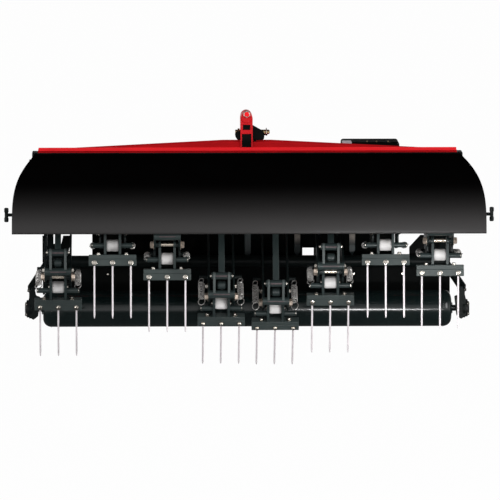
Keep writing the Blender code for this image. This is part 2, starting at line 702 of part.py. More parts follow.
def gearbox_mesh():
    """Drive housing around the crankshaft, with its top cover and input boss."""
    middle = sum(GEARBOX_X) / 2
    top = GEARBOX_Z[1]
    shapes = [block((GEARBOX_X[0], GEARBOX_Y[0], GEARBOX_Z[0]), (GEARBOX_X[1], GEARBOX_Y[1], top), 0.008)]
    pad_low = (GEARBOX_X[0] + 0.01, BEAM_Y[0] + 0.01, top - 0.02)
    pad_high = (GEARBOX_X[1] - 0.01, BEAM_Y[1] - 0.01, BEAM_BOTTOM - GAP)
    shapes.append(block(pad_low, pad_high))
    cover_low = (GEARBOX_COVER_X[0], BEAM_Y[1] + 0.005 + GAP, top - 0.014)
    cover_high = (GEARBOX_COVER_X[1], GEARBOX_Y[1], GEARBOX_COVER_TOP)
    shapes.append(block(cover_low, cover_high, 0.012))
    shapes.append(cross_rod(CRANK, GEARBOX_X[0] - 0.010, GEARBOX_X[1] + 0.010, BEARING_SEAT))
    boss = GEARBOX_Y[1]
    shapes.append(rod_shape((middle, boss - 0.01, INPUT_Z), (middle, boss + 0.018, INPUT_Z), 0.036))
    shaft_bore = bore_radius(CRANK_SHAFT_RADIUS, 12)
    stub_bore = bore_radius(INPUT_RADIUS, 16)
    cuts = [
        cross_rod(CRANK, GEARBOX_X[0] - 0.012, GEARBOX_X[1] + 0.012, shaft_bore, 12),
        rod_shape((middle, boss - 0.02, INPUT_Z), (middle, boss + 0.02, INPUT_Z), stub_bore),
    ]
    return weld(shapes, cuts)


def input_shaft_mesh():
    """Splined power input stub along +Y from the gearbox."""
    teeth = 4 * SPLINES
    bm = bmesh.new()
    outline = []
    for i in range(teeth):
        radius = INPUT_RADIUS if i % 4 < 2 else INPUT_RADIUS - 0.0025
        angle = math.tau * (i + 0.5) / teeth
        outline.append(bm.verts.new((radius * math.cos(angle), 0, radius * math.sin(angle))))
    face = bm.faces.new(outline)
    grown = bmesh.ops.extrude_face_region(bm, geom=[face])
    moved = [part for part in grown["geom"] if isinstance(part, bmesh.types.BMVert)]
    bmesh.ops.translate(bm, vec=(0, INPUT_LENGTH, 0), verts=moved)
    return mesh_from(bm)


def hood_path():
    """The hood sheet's middle line as (y, z, half width), from the hinge to the lip.

    It is a quarter of an ellipse, narrower than its bottom edge by the flare times cos^4 of its angle.
    """
    hinge_y, hinge_z = HOOD_HINGE
    bottom_y, bottom_z = HOOD_BOTTOM
    path = []
    for i in range(HOOD_STEPS + 1):
        angle = math.pi / 2 * i / HOOD_STEPS
        y = hinge_y + (bottom_y - hinge_y) * math.sin(angle)
        z = bottom_z + (hinge_z - bottom_z) * math.cos(angle)
        path.append((y, z, HOOD_HALF_BOTTOM - HOOD_FLARE * math.cos(angle) ** 4))
    path.append((bottom_y + HOOD_LIP, bottom_z, HOOD_HALF_BOTTOM))
    return path


def sheet_mesh(path, thickness):
    """A sheet of even thickness that follows a (y, z, half width) path."""
    across = []
    for here, there in zip(path, path[1:]):
        dy, dz = there[0] - here[0], there[1] - here[1]
        across.append(Vector((-dz, dy)).normalized())
    normals = []
    for before, after in zip(across[:1] + across, across + across[-1:]):
        mitre = (before + after).normalized()
        normals.append(mitre / mitre.dot(after))
    loop = [(y + ny * thickness / 2, z + nz * thickness / 2, w) for (y, z, w), (ny, nz) in zip(path, normals)]
    back = [(y - ny * thickness / 2, z - nz * thickness / 2, w) for (y, z, w), (ny, nz) in zip(path, normals)]
    bm = bmesh.new()
    left, right, left_in, right_in = [], [], [], []
    for (y, z, w), (yi, zi, wi) in zip(loop, back):
        left.append(bm.verts.new((-w, y, z)))
        right.append(bm.verts.new((w, y, z)))
        left_in.append(bm.verts.new((-wi, yi, zi)))
        right_in.append(bm.verts.new((wi, yi, zi)))
    for i in range(len(path) - 1):
        j = i + 1
        bm.faces.new((left[i], left[j], right[j], right[i]))
        bm.faces.new((left_in[i], right_in[i], right_in[j], left_in[j]))
        bm.faces.new((left[i], left_in[i], left_in[j], left[j]))
        bm.faces.new((right[i], right[j], right_in[j], right_in[i]))
    for i in (0, -1):
        bm.faces.new((left[i], right[i], right_in[i], left_in[i]))
    bmesh.ops.triangulate(bm, faces=bm.faces)
    return mesh_from(bm)


def hood_mesh():
    """Rear hood: the bent sheet, its hinge knuckle and a side peg at each end."""
    shapes = [sheet_mesh(hood_path(), HOOD_SHEET)]
    knuckle = HOOD_HALF_HINGE + 0.002
    shapes.append(cross_rod(HOOD_HINGE, -knuckle, knuckle, HOOD_HINGE_RADIUS, 8))
    rise = (PEG_Z + PEG_BLOCK_HALF - HOOD_BOTTOM[1]) / (HOOD_HINGE[1] - HOOD_BOTTOM[1])
    wall_y = HOOD_HINGE[0] + (HOOD_BOTTOM[0] - HOOD_HINGE[0]) * math.sqrt(1 - rise**2)
    edge = HOOD_HALF_BOTTOM - HOOD_FLARE * rise**4
    for side in (-1, 1):
        near, far = sorted((side * (edge - 0.040), side * (edge - 0.004)))
        shapes.append(block((near, wall_y, PEG_Z - PEG_BLOCK_HALF), (far, wall_y + 0.024, PEG_Z + PEG_BLOCK_HALF)))
        peg_y = wall_y + 0.013
        peg_x = side * PEG_REACH
        shapes.append(rod_shape((side * (edge - 0.010), peg_y, PEG_Z), (peg_x, peg_y, PEG_Z), 0.007, 8))
        top = PEG_Z + PEG_HEIGHT / 2
        shapes.append(rod_shape((peg_x, peg_y, top), (peg_x, peg_y, top - PEG_HEIGHT), 0.009, 8))
    return weld(shapes)


def roller_mesh():
    """Hollow roller about its axis, with round shoulders and bored stub axles."""
    reach = ROLLER_PLATE_INSIDE + ROLLER_PLATE_THICKNESS + 0.006
    shoulder = 0.030
    end = ROLLER_HALF
    outer = [(-reach, ROLLER_AXLE_RADIUS), (-end, ROLLER_AXLE_RADIUS)]
    for i in range(3):
        angle = math.pi / 4 * i
        x = -end + shoulder * (1 - math.cos(angle))
        outer.append((x, ROLLER_RADIUS - shoulder * (1 - math.sin(angle))))
    inner = [(-end + ROLLER_WALL + 0.012, ROLLER_RADIUS - ROLLER_WALL - 0.012)]
    inner += [(-end + ROLLER_WALL, ROLLER_AXLE_BORE), (-reach, ROLLER_AXLE_BORE)]
    profile = outer + [(-x, r) for x, r in reversed(outer)]
    profile += [(-x, r) for x, r in reversed(inner)] + inner
    return lathe(profile, 18)


def roller_frame_mesh():
    """Swinging roller frame: eyes on the front tube, arms, torsion tube and end plates."""
    half = ROLLER_ARM_WIDTH / 2
    eye = bore_radius(FRONT_TUBE_RADIUS, 16)
    reach = ROLLER_ARM_X
    axle_y, axle_z = ROLLER_AXIS
    shapes = [cross_rod(TORSION_TUBE, -reach, reach, TORSION_TUBE_RADIUS, 12)]
    sheet_y = TORSION_TUBE[0] + TORSION_TUBE_RADIUS - SHEET_THICKNESS / 2
    bottom, top = DEFLECTOR_Z
    shapes.append(block((-DEFLECTOR_HALF, sheet_y, bottom), (DEFLECTOR_HALF, sheet_y + SHEET_THICKNESS, top)))
    cuts = []
    low = ROLLER_PLATE_INSIDE
    high = low + ROLLER_PLATE_THICKNESS
    foot_y, foot_z = axle_y + END_PLATE_AHEAD, axle_z + END_PLATE_RISE
    end_plate = capsule((foot_y, foot_z), ROLLER_AXIS, END_PLATE_RADIUS / 2, END_PLATE_RADIUS, 4)
    axle_bore = bore_radius(ROLLER_AXLE_RADIUS, 16)
    for side in (-1, 1):
        x = side * reach
        shapes.append(cross_rod(FRONT_TUBE, x - half, x + half, FRONT_TUBE_RADIUS + 0.012))
        cuts.append(cross_rod(FRONT_TUBE, x - half - SEAM, x + half + SEAM, eye))
        hanger = (x, FRONT_TUBE[0], FRONT_TUBE[1] - FRONT_TUBE_RADIUS)
        shapes.append(bar(hanger, (x, *TORSION_TUBE), ROLLER_ARM_WIDTH, ROLLER_ARM_DEPTH))
        foot = (side * (low + high) / 2, foot_y, foot_z)
        shapes.append(bar((x, *TORSION_TUBE), foot, ROLLER_ARM_WIDTH * 0.7, ROLLER_ARM_DEPTH))
        shapes.append(plate(end_plate, *sorted((side * low, side * high))))
        cuts.append(cross_rod(ROLLER_AXIS, side * (low - SEAM), side * (high + SEAM), axle_bore))
    return weld(shapes, cuts)


def build_frame():
    """Everything that is bolted or welded to the hitch."""
    place("hitch_frame", hitch_frame_mesh(), RED)
    place("top_link_pin", top_link_pin_mesh(), BRASS)
    place("left_side_plate", side_plate_mesh(-1), BLACK)
    place("right_side_plate", side_plate_mesh(1), BLACK)
    place("pivot_shaft", pivot_shaft_mesh(), STEEL)
    place("front_tube", front_tube_mesh(), BLACK)
    place("gearbox", gearbox_mesh(), BLACK)


def build_drive():
    """The turning shafts."""
    crank = axis_empty("crank_axis", CRANK, 0, 0)
    shaft = place("crankshaft", crankshaft_mesh(), BLACK, crank)
    shaft.location = (0, -CRANK[0], -CRANK[1])
    middle = sum(GEARBOX_X) / 2
    place("input_shaft", input_shaft_mesh(), STEEL, None, (middle, GEARBOX_Y[1] - 0.020 + GAP, INPUT_Z))


def build_hood():
    """The hood on its hinge."""
    hinge = axis_empty("hood_axis", HOOD_HINGE, 0, 0)
    hood = place("hood", hood_mesh(), BLACK, hinge)
    hood.location = (0, -HOOD_HINGE[0], -HOOD_HINGE[1])


def build_roller():
    """The roller in its swinging frame."""
    swing = axis_empty("roller_frame_axis", FRONT_TUBE, 0, 0)
    frame = place("roller_frame", roller_frame_mesh(), BLACK, swing)
    frame.location = (0, -FRONT_TUBE[0], -FRONT_TUBE[1])
    roller = place("roller", roller_mesh(), BLACK, swing)
    roller.location = (0, ROLLER_AXIS[0] - FRONT_TUBE[0], ROLLER_AXIS[1] - FRONT_TUBE[1])


def build_heads():
    """Eight heads: arm, connecting rod, tine holder, bumper and two springs each."""
    arm, holder, bumper, rod, spring = arm_mesh(), holder_mesh(), bumper_mesh(), rod_mesh(), spring_curve()
    slope = math.atan2(ANCHOR_BAR[1] - STUB_AXIS[1], ANCHOR_BAR[0] - STUB_AXIS[0])
    for number, (x, degrees) in enumerate(zip(HEAD_X, REST_ANGLES_DEG), 1):
        angle = math.radians(degrees)
        swing = axis_empty(f"arm_{number}_axis", PIVOT, x, angle)
        place(f"arm_{number}", arm, BLACK, swing)
        kick = axis_empty(f"holder_{number}_axis", KICK_PIN, 0, 0, swing)
        place(f"tine_holder_{number}", holder, BLACK, kick)
        place(f"bumper_{number}", bumper, WHITE, kick)
        lean = rod_heading(angle) - math.pi / 2 - angle
        place(f"connecting_rod_{number}", rod, BLACK, swing, (0, *TOP_PIN), lean)
        for side, place_x in (("left", -SPRING_X), ("right", SPRING_X)):
            place(f"{side}_spring_{number}", spring, SPRING, swing, (place_x, *STUB_AXIS), slope)


clear_scene()
build_frame()
build_drive()
build_hood()
build_roller()
build_heads()
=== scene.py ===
"""Dressed model of a tractor-mounted deep tine aerator, seen from behind.

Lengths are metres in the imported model's frame: +X right, +Y forwards to the tractor, +Z up.
"""

import logging
import math
from dataclasses import dataclass
from enum import Enum

import bmesh
import bpy
import numpy as np
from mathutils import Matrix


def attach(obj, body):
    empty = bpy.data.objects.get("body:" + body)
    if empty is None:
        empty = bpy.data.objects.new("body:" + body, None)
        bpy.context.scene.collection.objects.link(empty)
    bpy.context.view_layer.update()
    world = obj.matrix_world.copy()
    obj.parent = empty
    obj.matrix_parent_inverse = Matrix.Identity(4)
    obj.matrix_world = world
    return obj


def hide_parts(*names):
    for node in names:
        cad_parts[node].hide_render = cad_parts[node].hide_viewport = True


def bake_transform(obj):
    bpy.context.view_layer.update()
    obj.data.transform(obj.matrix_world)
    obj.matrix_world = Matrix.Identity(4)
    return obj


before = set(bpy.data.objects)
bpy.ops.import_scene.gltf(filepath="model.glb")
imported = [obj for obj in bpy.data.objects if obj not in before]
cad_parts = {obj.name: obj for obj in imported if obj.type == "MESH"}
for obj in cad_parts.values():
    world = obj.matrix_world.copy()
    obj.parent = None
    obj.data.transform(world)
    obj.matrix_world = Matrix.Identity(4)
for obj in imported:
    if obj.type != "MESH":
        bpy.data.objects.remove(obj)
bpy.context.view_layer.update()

log = logging.getLogger("aerator")

Point2 = tuple[float, float]
Point3 = tuple[float, float, float]
Outline = np.ndarray | list[Point2] | tuple[Point2, ...]
Value = float | tuple[float, ...] | bpy.types.NodeSocket

SIDES = (-1, 1)
WHITE = (1.0, 1.0, 1.0, 1.0)
SOIL_DUST = (0.30, 0.27, 0.23, 1.0)
WASHER = 0.0018
SUNK = 0.0004
SHARP = math.radians(32)
BEVELLED = math.radians(40)


class Axis(Enum):
    """A direction of the model's frame."""

    X = (1.0, 0.0, 0.0)
    Y = (0.0, 1.0, 0.0)
    Z = (0.0, 0.0, 1.0)


class Slot(Enum):
    """A material slot."""

    BLACK = "black_paint"
    HOOD = "hood_paint"
    RED = "red_paint"
    STEEL = "bright_steel"
    SPRING = "spring_steel"
    ZINC = "yellow_zinc"
    WHITE = "white_plastic"


class Mix(Enum):
    """What a mix node mixes: its data type, and the end of its sockets' names."""

    COLOUR = ("RGBA", "Color")
    NUMBER = ("FLOAT", "Float")


@dataclass
class Net:
    """A node tree, with short ways to add nodes. A value is a number, a colour or a socket that gives one."""

    tree: bpy.types.NodeTree

    def feed(self, node: bpy.types.Node, inputs: dict[str | int, Value]) -> bpy.types.Node:
        """Sets a node's inputs.

        Args:
            node: The node.
            inputs: Each input's name or number and its value.

        Returns:
            The node.
        """
        for name, value in inputs.items():
            if isinstance(value, bpy.types.NodeSocket):
                self.tree.links.new(value, node.inputs[name])
            else:
                node.inputs[name].default_value = value
        return node

    def add(self, kind: str, inputs: dict[str | int, Value]) -> bpy.types.Node:
        """Adds a node of a kind, named without its prefix, and sets its inputs."""
        return self.feed(self.tree.nodes.new(f"ShaderNode{kind}"), inputs)

    def maths(self, operation: str, *values: Value) -> bpy.types.NodeSocket:
        """The result of an operation.

        Args:
            operation: Its name.
            values: What it works on.

        Returns:
            The socket of the result.
        """
        node = self.add("Math", dict(enumerate(values)))
        node.operation = operation
        return node.outputs["Value"]

    def ranged(
        self, value: Value, source: Point2 = (0.0, 1.0), target: Point2 = (0.0, 1.0), smooth: bool = False
    ) -> bpy.types.NodeSocket:
        """A value carried from one range to another, and held to it.

        Args:
            value: The value.
            source: The range that it comes from.
            target: The range that it goes to.
            smooth: Whether it starts and ends gently.

        Returns:
            The socket of the result.
        """
        ends = {"From Min": source[0], "From Max": source[1], "To Min": target[0], "To Max": target[1]}
        node = self.add("MapRange", {"Value": value, **ends})
        node.interpolation_type = "SMOOTHSTEP" if smooth else "LINEAR"
        return node.outputs["Result"]

    def mixed(self, mix: Mix, share: Value, first: Value, second: Value) -> bpy.types.NodeSocket:
        """A mix of two values.

        Args:
            mix: What they are.
            share: 0 for the first, 1 for the second.
            first: The one value.
            second: The other.

        Returns:
            The socket of the result.
        """
        node = self.add("Mix", {})
        node.data_type, kind = mix.value
        at = {socket.identifier: number for number, socket in enumerate(node.inputs)}
        self.feed(node, {at["Factor_Float"]: share, at[f"A_{kind}"]: first, at[f"B_{kind}"]: second})
        return next(socket for socket in node.outputs if socket.identifier == f"Result_{kind}")

    def noise(self, place: Value, scale: float, detail: float) -> bpy.types.NodeSocket:
        """A noise of a scale and detail at a place, from 0 to 1."""
        return self.add("TexNoise", {"Vector": place, "Scale": scale, "Detail": detail}).outputs["Fac"]


@dataclass(frozen=True)
class Finish:
    """A procedural surface: its colour, its gloss and how both wander over the piece."""

    name: str
    colour: Point3
    roughness: float
    slot: Slot = Slot.BLACK
    metallic: float = 0.0
    specular: float = 0.5
    tone: float = 0.18
    cloud: float = 9.0
    grain: float = 260.0
    bump: float = 0.05
    stretch: Point3 = (1.0, 1.0, 1.0)
    dust: float = 0.0
    fade_axis: Axis = Axis.Z
    fade: Point2 = (0.0, 0.0)
    fade_colour: Point3 = (0.0, 0.0, 0.0)
    fade_specular: float = 0.5
    tone_from: Point2 = (0.32, 0.68)
    dust_from: Point2 = (0.52, 0.80)
    gloss_swing: float = 0.07
    relief: float = 0.001

    def material(self) -> bpy.types.Material:
        """Builds the finish once and hands the same one out after that.

        Returns:
            The material with its nodes.
        """
        known = bpy.data.materials.get(self.name)
        if known is not None:
            return known
        made = bpy.data.materials.new(self.name)
        made.use_nodes = True
        net = Net(made.node_tree)
        shader = net.tree.nodes["Principled BSDF"]
        net.feed(shader, {"Metallic": self.metallic, "Specular IOR Level": self.specular})
        place = net.add("TexCoord", {}).outputs["Object"]
        spread = net.add("Mapping", {"Vector": place, "Scale": self.stretch}).outputs["Vector"]
        colour = self.toned(net, spread)
        if self.fade != (0.0, 0.0):
            colour = self.faded(net, shader, place, colour)
        if self.dust:
            patches = net.noise(spread, self.cloud * 1.7, 8.0)
            share = net.ranged(patches, self.dust_from, (0.0, self.dust))
            colour = net.mixed(Mix.COLOUR, share, colour, SOIL_DUST)
        gloss = (max(self.roughness - self.gloss_swing, 0.02), min(self.roughness + self.gloss_swing, 1.0))
        smear = net.ranged(net.noise(spread, self.cloud * 3.1, 3.0), target=gloss)
        grain = net.noise(spread, self.grain, 2.0)
        relief = net.add("Bump", {"Strength": self.bump, "Distance": self.relief, "Height": grain})
        net.feed(shader, {"Base Color": colour, "Roughness": smear, "Normal": relief.outputs["Normal"]})
        return made

    def toned(self, net: Net, place: Value) -> bpy.types.NodeSocket:
        """The colour, wandering between a darker and a lighter tone.

        Args:
            net: The material's nodes.
            place: The stretched coordinates.

        Returns:
            The socket of the colour.
        """
        tones = net.add("ValToRGB", {"Fac": net.noise(place, self.cloud, 5.0)})
        low, high = tones.color_ramp.elements
        low.position, high.position = self.tone_from
        low.color = (*[c * (1 - self.tone) for c in self.colour], 1.0)
        high.color = (*[min(c * (1 + self.tone), 1.0) for c in self.colour], 1.0)
        return tones.outputs["Color"]

    def faded(self, net: Net, shader: bpy.types.Node, place: Value, colour: Value) -> bpy.types.NodeSocket:
        """The colour and the gloss turning into others from one place to a second along an axis.

        Args:
            net: The material's nodes.
            shader: The shader whose gloss turns.
            place: The piece's own coordinates.
            colour: The first colour.

        Returns:
            The socket of the faded colour.
        """
        along = net.add("SeparateXYZ", {"Vector": place}).outputs[self.fade_axis.name]
        share = net.ranged(along, self.fade, smooth=True)
        gloss = net.ranged(share, target=(self.specular, self.fade_specular))
        net.feed(shader, {"Specular IOR Level": gloss})
        return net.mixed(Mix.COLOUR, share, colour, (*self.fade_colour, 1.0))


FRAME_BLACK = Finish("frame_black", (0.0036, 0.0058, 0.0058), 0.40, specular=0.11, dust=0.02)
CHEEK_BLACK = Finish("cheek_black", (0.009, 0.014, 0.014), 0.40, specular=0.22, dust=0.02)
ARM_BLACK = Finish("arm_black", (0.020, 0.029, 0.029), 0.34, specular=0.35, dust=0.02)
CLAMP_BLACK = Finish("clamp_black", (0.033, 0.044, 0.043), 0.40, specular=0.35, bump=0.12, dust=0.05)
# Painted shade: a near-black, darker than the frame's paint, that gives the pieces wearing it the darkness of
# shade.
PAINTED_SHADE = Finish("painted_shade_black", (0.0012, 0.0018, 0.0018), 0.62, specular=0.06, dust=0.01)
GEAR_BLACK = Finish(
    "gear_black", (0.0060, 0.0070, 0.0075), 0.45, specular=0.25, bump=0.25, grain=160.0, dust=0.02
)
ROLLER_BLACK = Finish(
    "roller_black", (0.0040, 0.0080, 0.0080), 0.17, specular=0.45, cloud=6.0, bump=0.03, dust=0.01
)
# Painted light: black hood paint whose colour and gloss turn lighter towards the sheet's bottom edge, where
# light falls on it.
HOOD_PAINTED_LIGHT = Finish(
    "hood_black_painted_light", (0.0010, 0.0009, 0.0009), 0.34, Slot.HOOD, specular=0.0, tone=0.1, bump=0.02,
    fade=(0.280, 0.078), fade_colour=(0.027, 0.0255, 0.0255), fade_specular=0.26,
)
# Painted shade: the shield's rear face is a near-black that stands for shade; towards the front face it turns
# to plain black paint with some gloss.
SHIELD_PAINTED_SHADE = Finish(
    "shield_black_painted_shade", (0.0008, 0.0012, 0.0012), 0.62, specular=0.02, dust=0.02,
    fade_axis=Axis.Y, fade=(-0.0802, -0.0790), fade_colour=(0.0100, 0.0120, 0.0120), fade_specular=0.30,
)
FORK_GREY = Finish("fork_grey", (0.062, 0.074, 0.073), 0.42, specular=0.35, bump=0.08, dust=0.03)
STRAP_GREY = Finish("strap_grey", (0.012, 0.022, 0.023), 0.42, specular=0.3, dust=0.02)
PALE_CAP = Finish("pale_cap", (0.42, 0.38, 0.42), 0.35, specular=0.4, tone=0.15, cloud=80.0)
BEAM_RED = Finish("beam_red", (0.47, 0.009, 0.012), 0.38, Slot.RED, specular=0.0, tone=0.08, bump=0.03)
MAST_RED = Finish("mast_red", (0.58, 0.011, 0.016), 0.36, Slot.RED, specular=0.10, tone=0.07, bump=0.03)
STRIP_RED = Finish("strip_red", (0.97, 0.016, 0.024), 0.32, Slot.RED, specular=0.12, tone=0.05, bump=0.02)
ZINC = Finish("zinc_bolt", (0.66, 0.62, 0.56), 0.24, Slot.STEEL, 1.0, tone=0.22, cloud=90.0, bump=0.06)
BRONZE_NUT = Finish("bronze_nut", (0.74, 0.62, 0.52), 0.30, Slot.STEEL, 0.8, tone=0.25, cloud=70.0)
# Painted reflection: the brown of the thin lines on the cross sleeves and rod eyes, each standing for a
# reflection.
REFLECTION_BROWN = Finish("painted_reflection_brown", (0.068, 0.050, 0.053), 0.40, Slot.STEEL, 0.2, tone=0.3, cloud=90.0)
PAD_BROWN = Finish(
    "pad_brown", (0.16, 0.135, 0.115), 0.45, Slot.STEEL, specular=0.3, tone=0.3, cloud=60.0,
    fade=(0.004, -0.034), fade_colour=(0.010, 0.014, 0.014), fade_specular=0.2,
)
TINE_STEEL = Finish(
    "tine_steel", (0.74, 0.69, 0.71), 0.46, Slot.STEEL, 0.25, tone=0.10, cloud=40.0, stretch=(1, 1, 0.15)
)
PIN_STEEL = Finish(
    "pin_steel", (0.62, 0.55, 0.52), 0.22, Slot.STEEL, 1.0, tone=0.12, cloud=50.0, stretch=(0.2, 1, 1)
)
CREAM_PIN = Finish(
    "cream_pin", (0.86, 0.76, 0.64), 0.26, Slot.STEEL, 0.8, tone=0.12, cloud=50.0, stretch=(0.2, 1, 1)
)
SPRING_STEEL = Finish("spring_wire", (0.62, 0.60, 0.58), 0.26, Slot.SPRING, 0.45, tone=0.22, cloud=60.0)
YELLOW_ZINC = Finish("passivated_zinc", (0.42, 0.31, 0.16), 0.30, Slot.ZINC, 1.0, tone=0.25, cloud=60.0)
BUMPER_WHITE = Finish(
    "bumper_white", (0.79, 0.77, 0.76), 0.42, Slot.WHITE, specular=0.3, tone=0.05, cloud=30.0, dust=0.06
)


@dataclass
class Shell:
    """A closed surface: its points, and its faces as arrays of point numbers."""

    points: np.ndarray
    faces: list[np.ndarray]

    def moved(self, offset: Point3) -> "Shell":
        """The same surface, shifted."""
        return Shell(self.points + np.asarray(offset), self.faces)

    def swung(self, angle: float) -> "Shell":
        """The same surface turned about X: y' = y cos a - z sin a, z' = y sin a + z cos a."""
        c, s = math.cos(angle), math.sin(angle)
        return Shell(self.points @ np.array([[1, 0, 0], [0, c, -s], [0, s, c]]).T, self.faces)


def full_turn(steps: int) -> np.ndarray:
    """The angles of a full turn in equal steps."""
    return np.linspace(0, 2 * math.pi, steps, endpoint=False)


def four_round(centre: Point2, radius: float) -> list[Point2]:
    """Four places on a circle, halfway between its axes."""
    turns = full_turn(4) + math.pi / 4
    return [(centre[0] + radius * math.cos(a), centre[1] + radius * math.sin(a)) for a in turns]


def span(side: int, near: float, far: float) -> Point2:
    """Two places on one side, -1 or +1, of the middle plane, the lower first."""
    low, high = sorted((side * near, side * far))
    return (low, high)


def shifted(points: tuple[Point2, ...], x: float, z: float) -> list[Point2]:
    """Flat points moved by (x, z)."""
    return [(a + x, b + z) for a, b in points]


def symmetric(half: list[Point2], middle: float = 0.0) -> list[Point2]:
    """A row of flat points followed by its mirror image about the middle, backwards."""
    return half + [(2 * middle - a, b) for a, b in reversed(half)]


def wrapped_quads(rows: int, columns: int, closed_rows: bool) -> np.ndarray:
    """Quads of a grid whose columns close on themselves: (i, j), (i, j+1), (i+1, j+1), (i+1, j).

    Args:
        rows: Number of rows of points.
        columns: Number of points in a row.
        closed_rows: Whether the last row joins the first.

    Returns:
        An array of point numbers, four a face.
    """
    i = np.arange(rows if closed_rows else rows - 1)[:, None]
    j = np.arange(columns)[None, :]
    i2, j2 = (i + 1) % rows, (j + 1) % columns
    corners = (i * columns + j, i * columns + j2, i2 * columns + j2, i2 * columns + j)
    return np.stack(np.broadcast_arrays(*corners), axis=-1).reshape(-1, 4)


def skinned(grid: np.ndarray, closed: bool = False) -> Shell:
    """A surface over rings of points, with a cap on its first and last ring unless they join.

    Args:
        grid: The points, by ring and place in the ring.
        closed: Whether the last ring joins the first.

    Returns:
        The closed surface.
    """
    rows, sides = grid.shape[:2]
    faces = [wrapped_quads(rows, sides, closed)]
    if not closed:
        faces += [np.arange(sides)[None, ::-1], ((rows - 1) * sides + np.arange(sides))[None]]
    return Shell(grid.reshape(-1, 3), faces)


def lathe(
    profile: Outline,
    start: Point3,
    sides: int = 40,
    axis: Axis = Axis.X,
    ring: bool = False,
    side: int = 1,
) -> Shell:
    """A turned shape: p(s, t) = start + a(s) A + r(s) (cos t U + sin t V), t from 0 to 2 pi.

    Args:
        profile: Pairs of distance along the axis and radius.
        start: Where distance 0 lies.
        sides: Points round the turn.
        axis: The axis A.
        ring: Whether the profile is a closed loop, as for a bored piece.
        side: +1 or -1, the way the distances count.

    Returns:
        The closed surface.
    """
    along, radius = np.array(profile, float).T
    direction = np.array(axis.value)
    first = np.roll(direction, 1)
    turn = full_turn(sides)[:, None]
    spokes = np.cos(turn) * first + np.sin(turn) * np.cross(direction, first)
    grid = np.asarray(start) + side * along[:, None, None] * direction + radius[:, None, None] * spokes
    return skinned(grid, ring)


def bored(start: Point3, length: float, bore: float, radius: float, sides: int) -> Shell:
    """A flat disc along X with a hole through it."""
    return lathe([(0, bore), (0, radius), (length, radius), (length, bore)], start, sides, ring=True)


def soft_rod(start: Point3, length: float, radius: float, edge: float = 0.001, sides: int = 32) -> Shell:
    """A round bar with broken edges, from start along X."""
    profile = [(0, radius - edge), (edge, radius), (length - edge, radius), (length, radius - edge)]
    return lathe(profile, start, sides)


def cross_bar(point: Point2, reach: float, radius: float, edge: float = 0.001, sides: int = 32) -> Shell:
    """A round bar along X through (y, z), from -reach to +reach."""
    return soft_rod((-reach, *point), 2 * reach, radius, edge, sides)


def pipe(path: np.ndarray, radius: float, sides: int = 8, closed: bool = False) -> Shell:
    """A wire along a path: p(s, t) = c(s) + r (cos t N(s) + sin t B(s)), with a frame that doesn't twist.

    Args:
        path: Points of the middle line.
        radius: The wire's radius.
        sides: Points round the wire.
        closed: Whether the path joins itself.

    Returns:
        The closed surface.
    """
    ahead = np.roll(path, -1, axis=0) - np.roll(path, 1, axis=0)
    if not closed:
        ahead[0], ahead[-1] = path[1] - path[0], path[-1] - path[-2]
    tangent = ahead / np.linalg.norm(ahead, axis=1, keepdims=True)
    normal = np.empty_like(tangent)
    guess = np.array([0.31, 0.17, 0.93])
    for i, heading in enumerate(tangent):
        guess = guess - heading * guess.dot(heading)
        guess = guess / np.linalg.norm(guess)
        normal[i] = guess
    binormal = np.cross(tangent, normal)
    turn = full_turn(sides)[:, None]
    spokes = np.cos(turn) * normal[:, None] + np.sin(turn) * binormal[:, None]
    return skinned(path[:, None] + radius * spokes, closed)


def hoop(x: float, centre: Point2, radius: np.ndarray, wire: float, sides: int = 8) -> Shell:
    """A wire ring round X: c(t) = (x, y + r(t) cos t, z + r(t) sin t).

    Args:
        x: Where it lies.
        centre: Its middle, y and z.
        radius: The radius at each of its points.
        wire: The wire's radius.
        sides: Points round the wire.

    Returns:
        The closed surface.
    """
    t = full_turn(len(radius))
    path = np.stack([np.full_like(t, x), centre[0] + radius * np.cos(t), centre[1] + radius * np.sin(t)], 1)
    return pipe(path, wire, sides, True)


def extruded(outline: Outline, low: float, high: float, axis: Axis = Axis.X) -> Shell:
    """An outline carried along an axis: p(u, s) = s A + outline(u), s from low to high.

    Args:
        outline: Points in the other two directions, in the order y z, x z or x y.
        low: Where the piece starts.
        high: Where it ends.
        axis: The direction A.

    Returns:
        The closed surface.
    """
    at = list(Axis).index(axis)
    grid = np.empty((2, len(outline), 3))
    grid[..., [i for i in range(3) if i != at]] = np.asarray(outline, float)
    grid[0, :, at], grid[1, :, at] = low, high
    return skinned(grid)


def block(low: Point3, high: Point3) -> Shell:
    """A box between two corners; a Bevel finishes its edges."""
    outline = [(low[1], low[2]), (high[1], low[2]), (high[1], high[2]), (low[1], high[2])]
    return extruded(outline, low[0], high[0])


def rounded(corners: list[Point2], radius: float, steps: int = 5) -> np.ndarray:
    """A polygon with its corners rounded: each becomes the curve (1-t)^2 a + 2t(1-t) c + t^2 b.

    Args:
        corners: The polygon.
        radius: How far each curve starts from its corner, at most 45% of a side.
        steps: Points in each curve, less one.

    Returns:
        The rounded outline.
    """
    here = np.array(corners, float)
    before, after = np.roll(here, 1, axis=0) - here, np.roll(here, -1, axis=0) - here
    back, on = np.linalg.norm(before, axis=1)[:, None], np.linalg.norm(after, axis=1)[:, None]
    reach = np.minimum(radius, 0.45 * np.minimum(back, on))
    a, b = here + before / back * reach, here + after / on * reach
    t = np.linspace(0, 1, steps + 1)[None, :, None]
    curve = (1 - t) ** 2 * a[:, None] + 2 * t * (1 - t) * here[:, None] + t**2 * b[:, None]
    return curve.reshape(-1, 2)


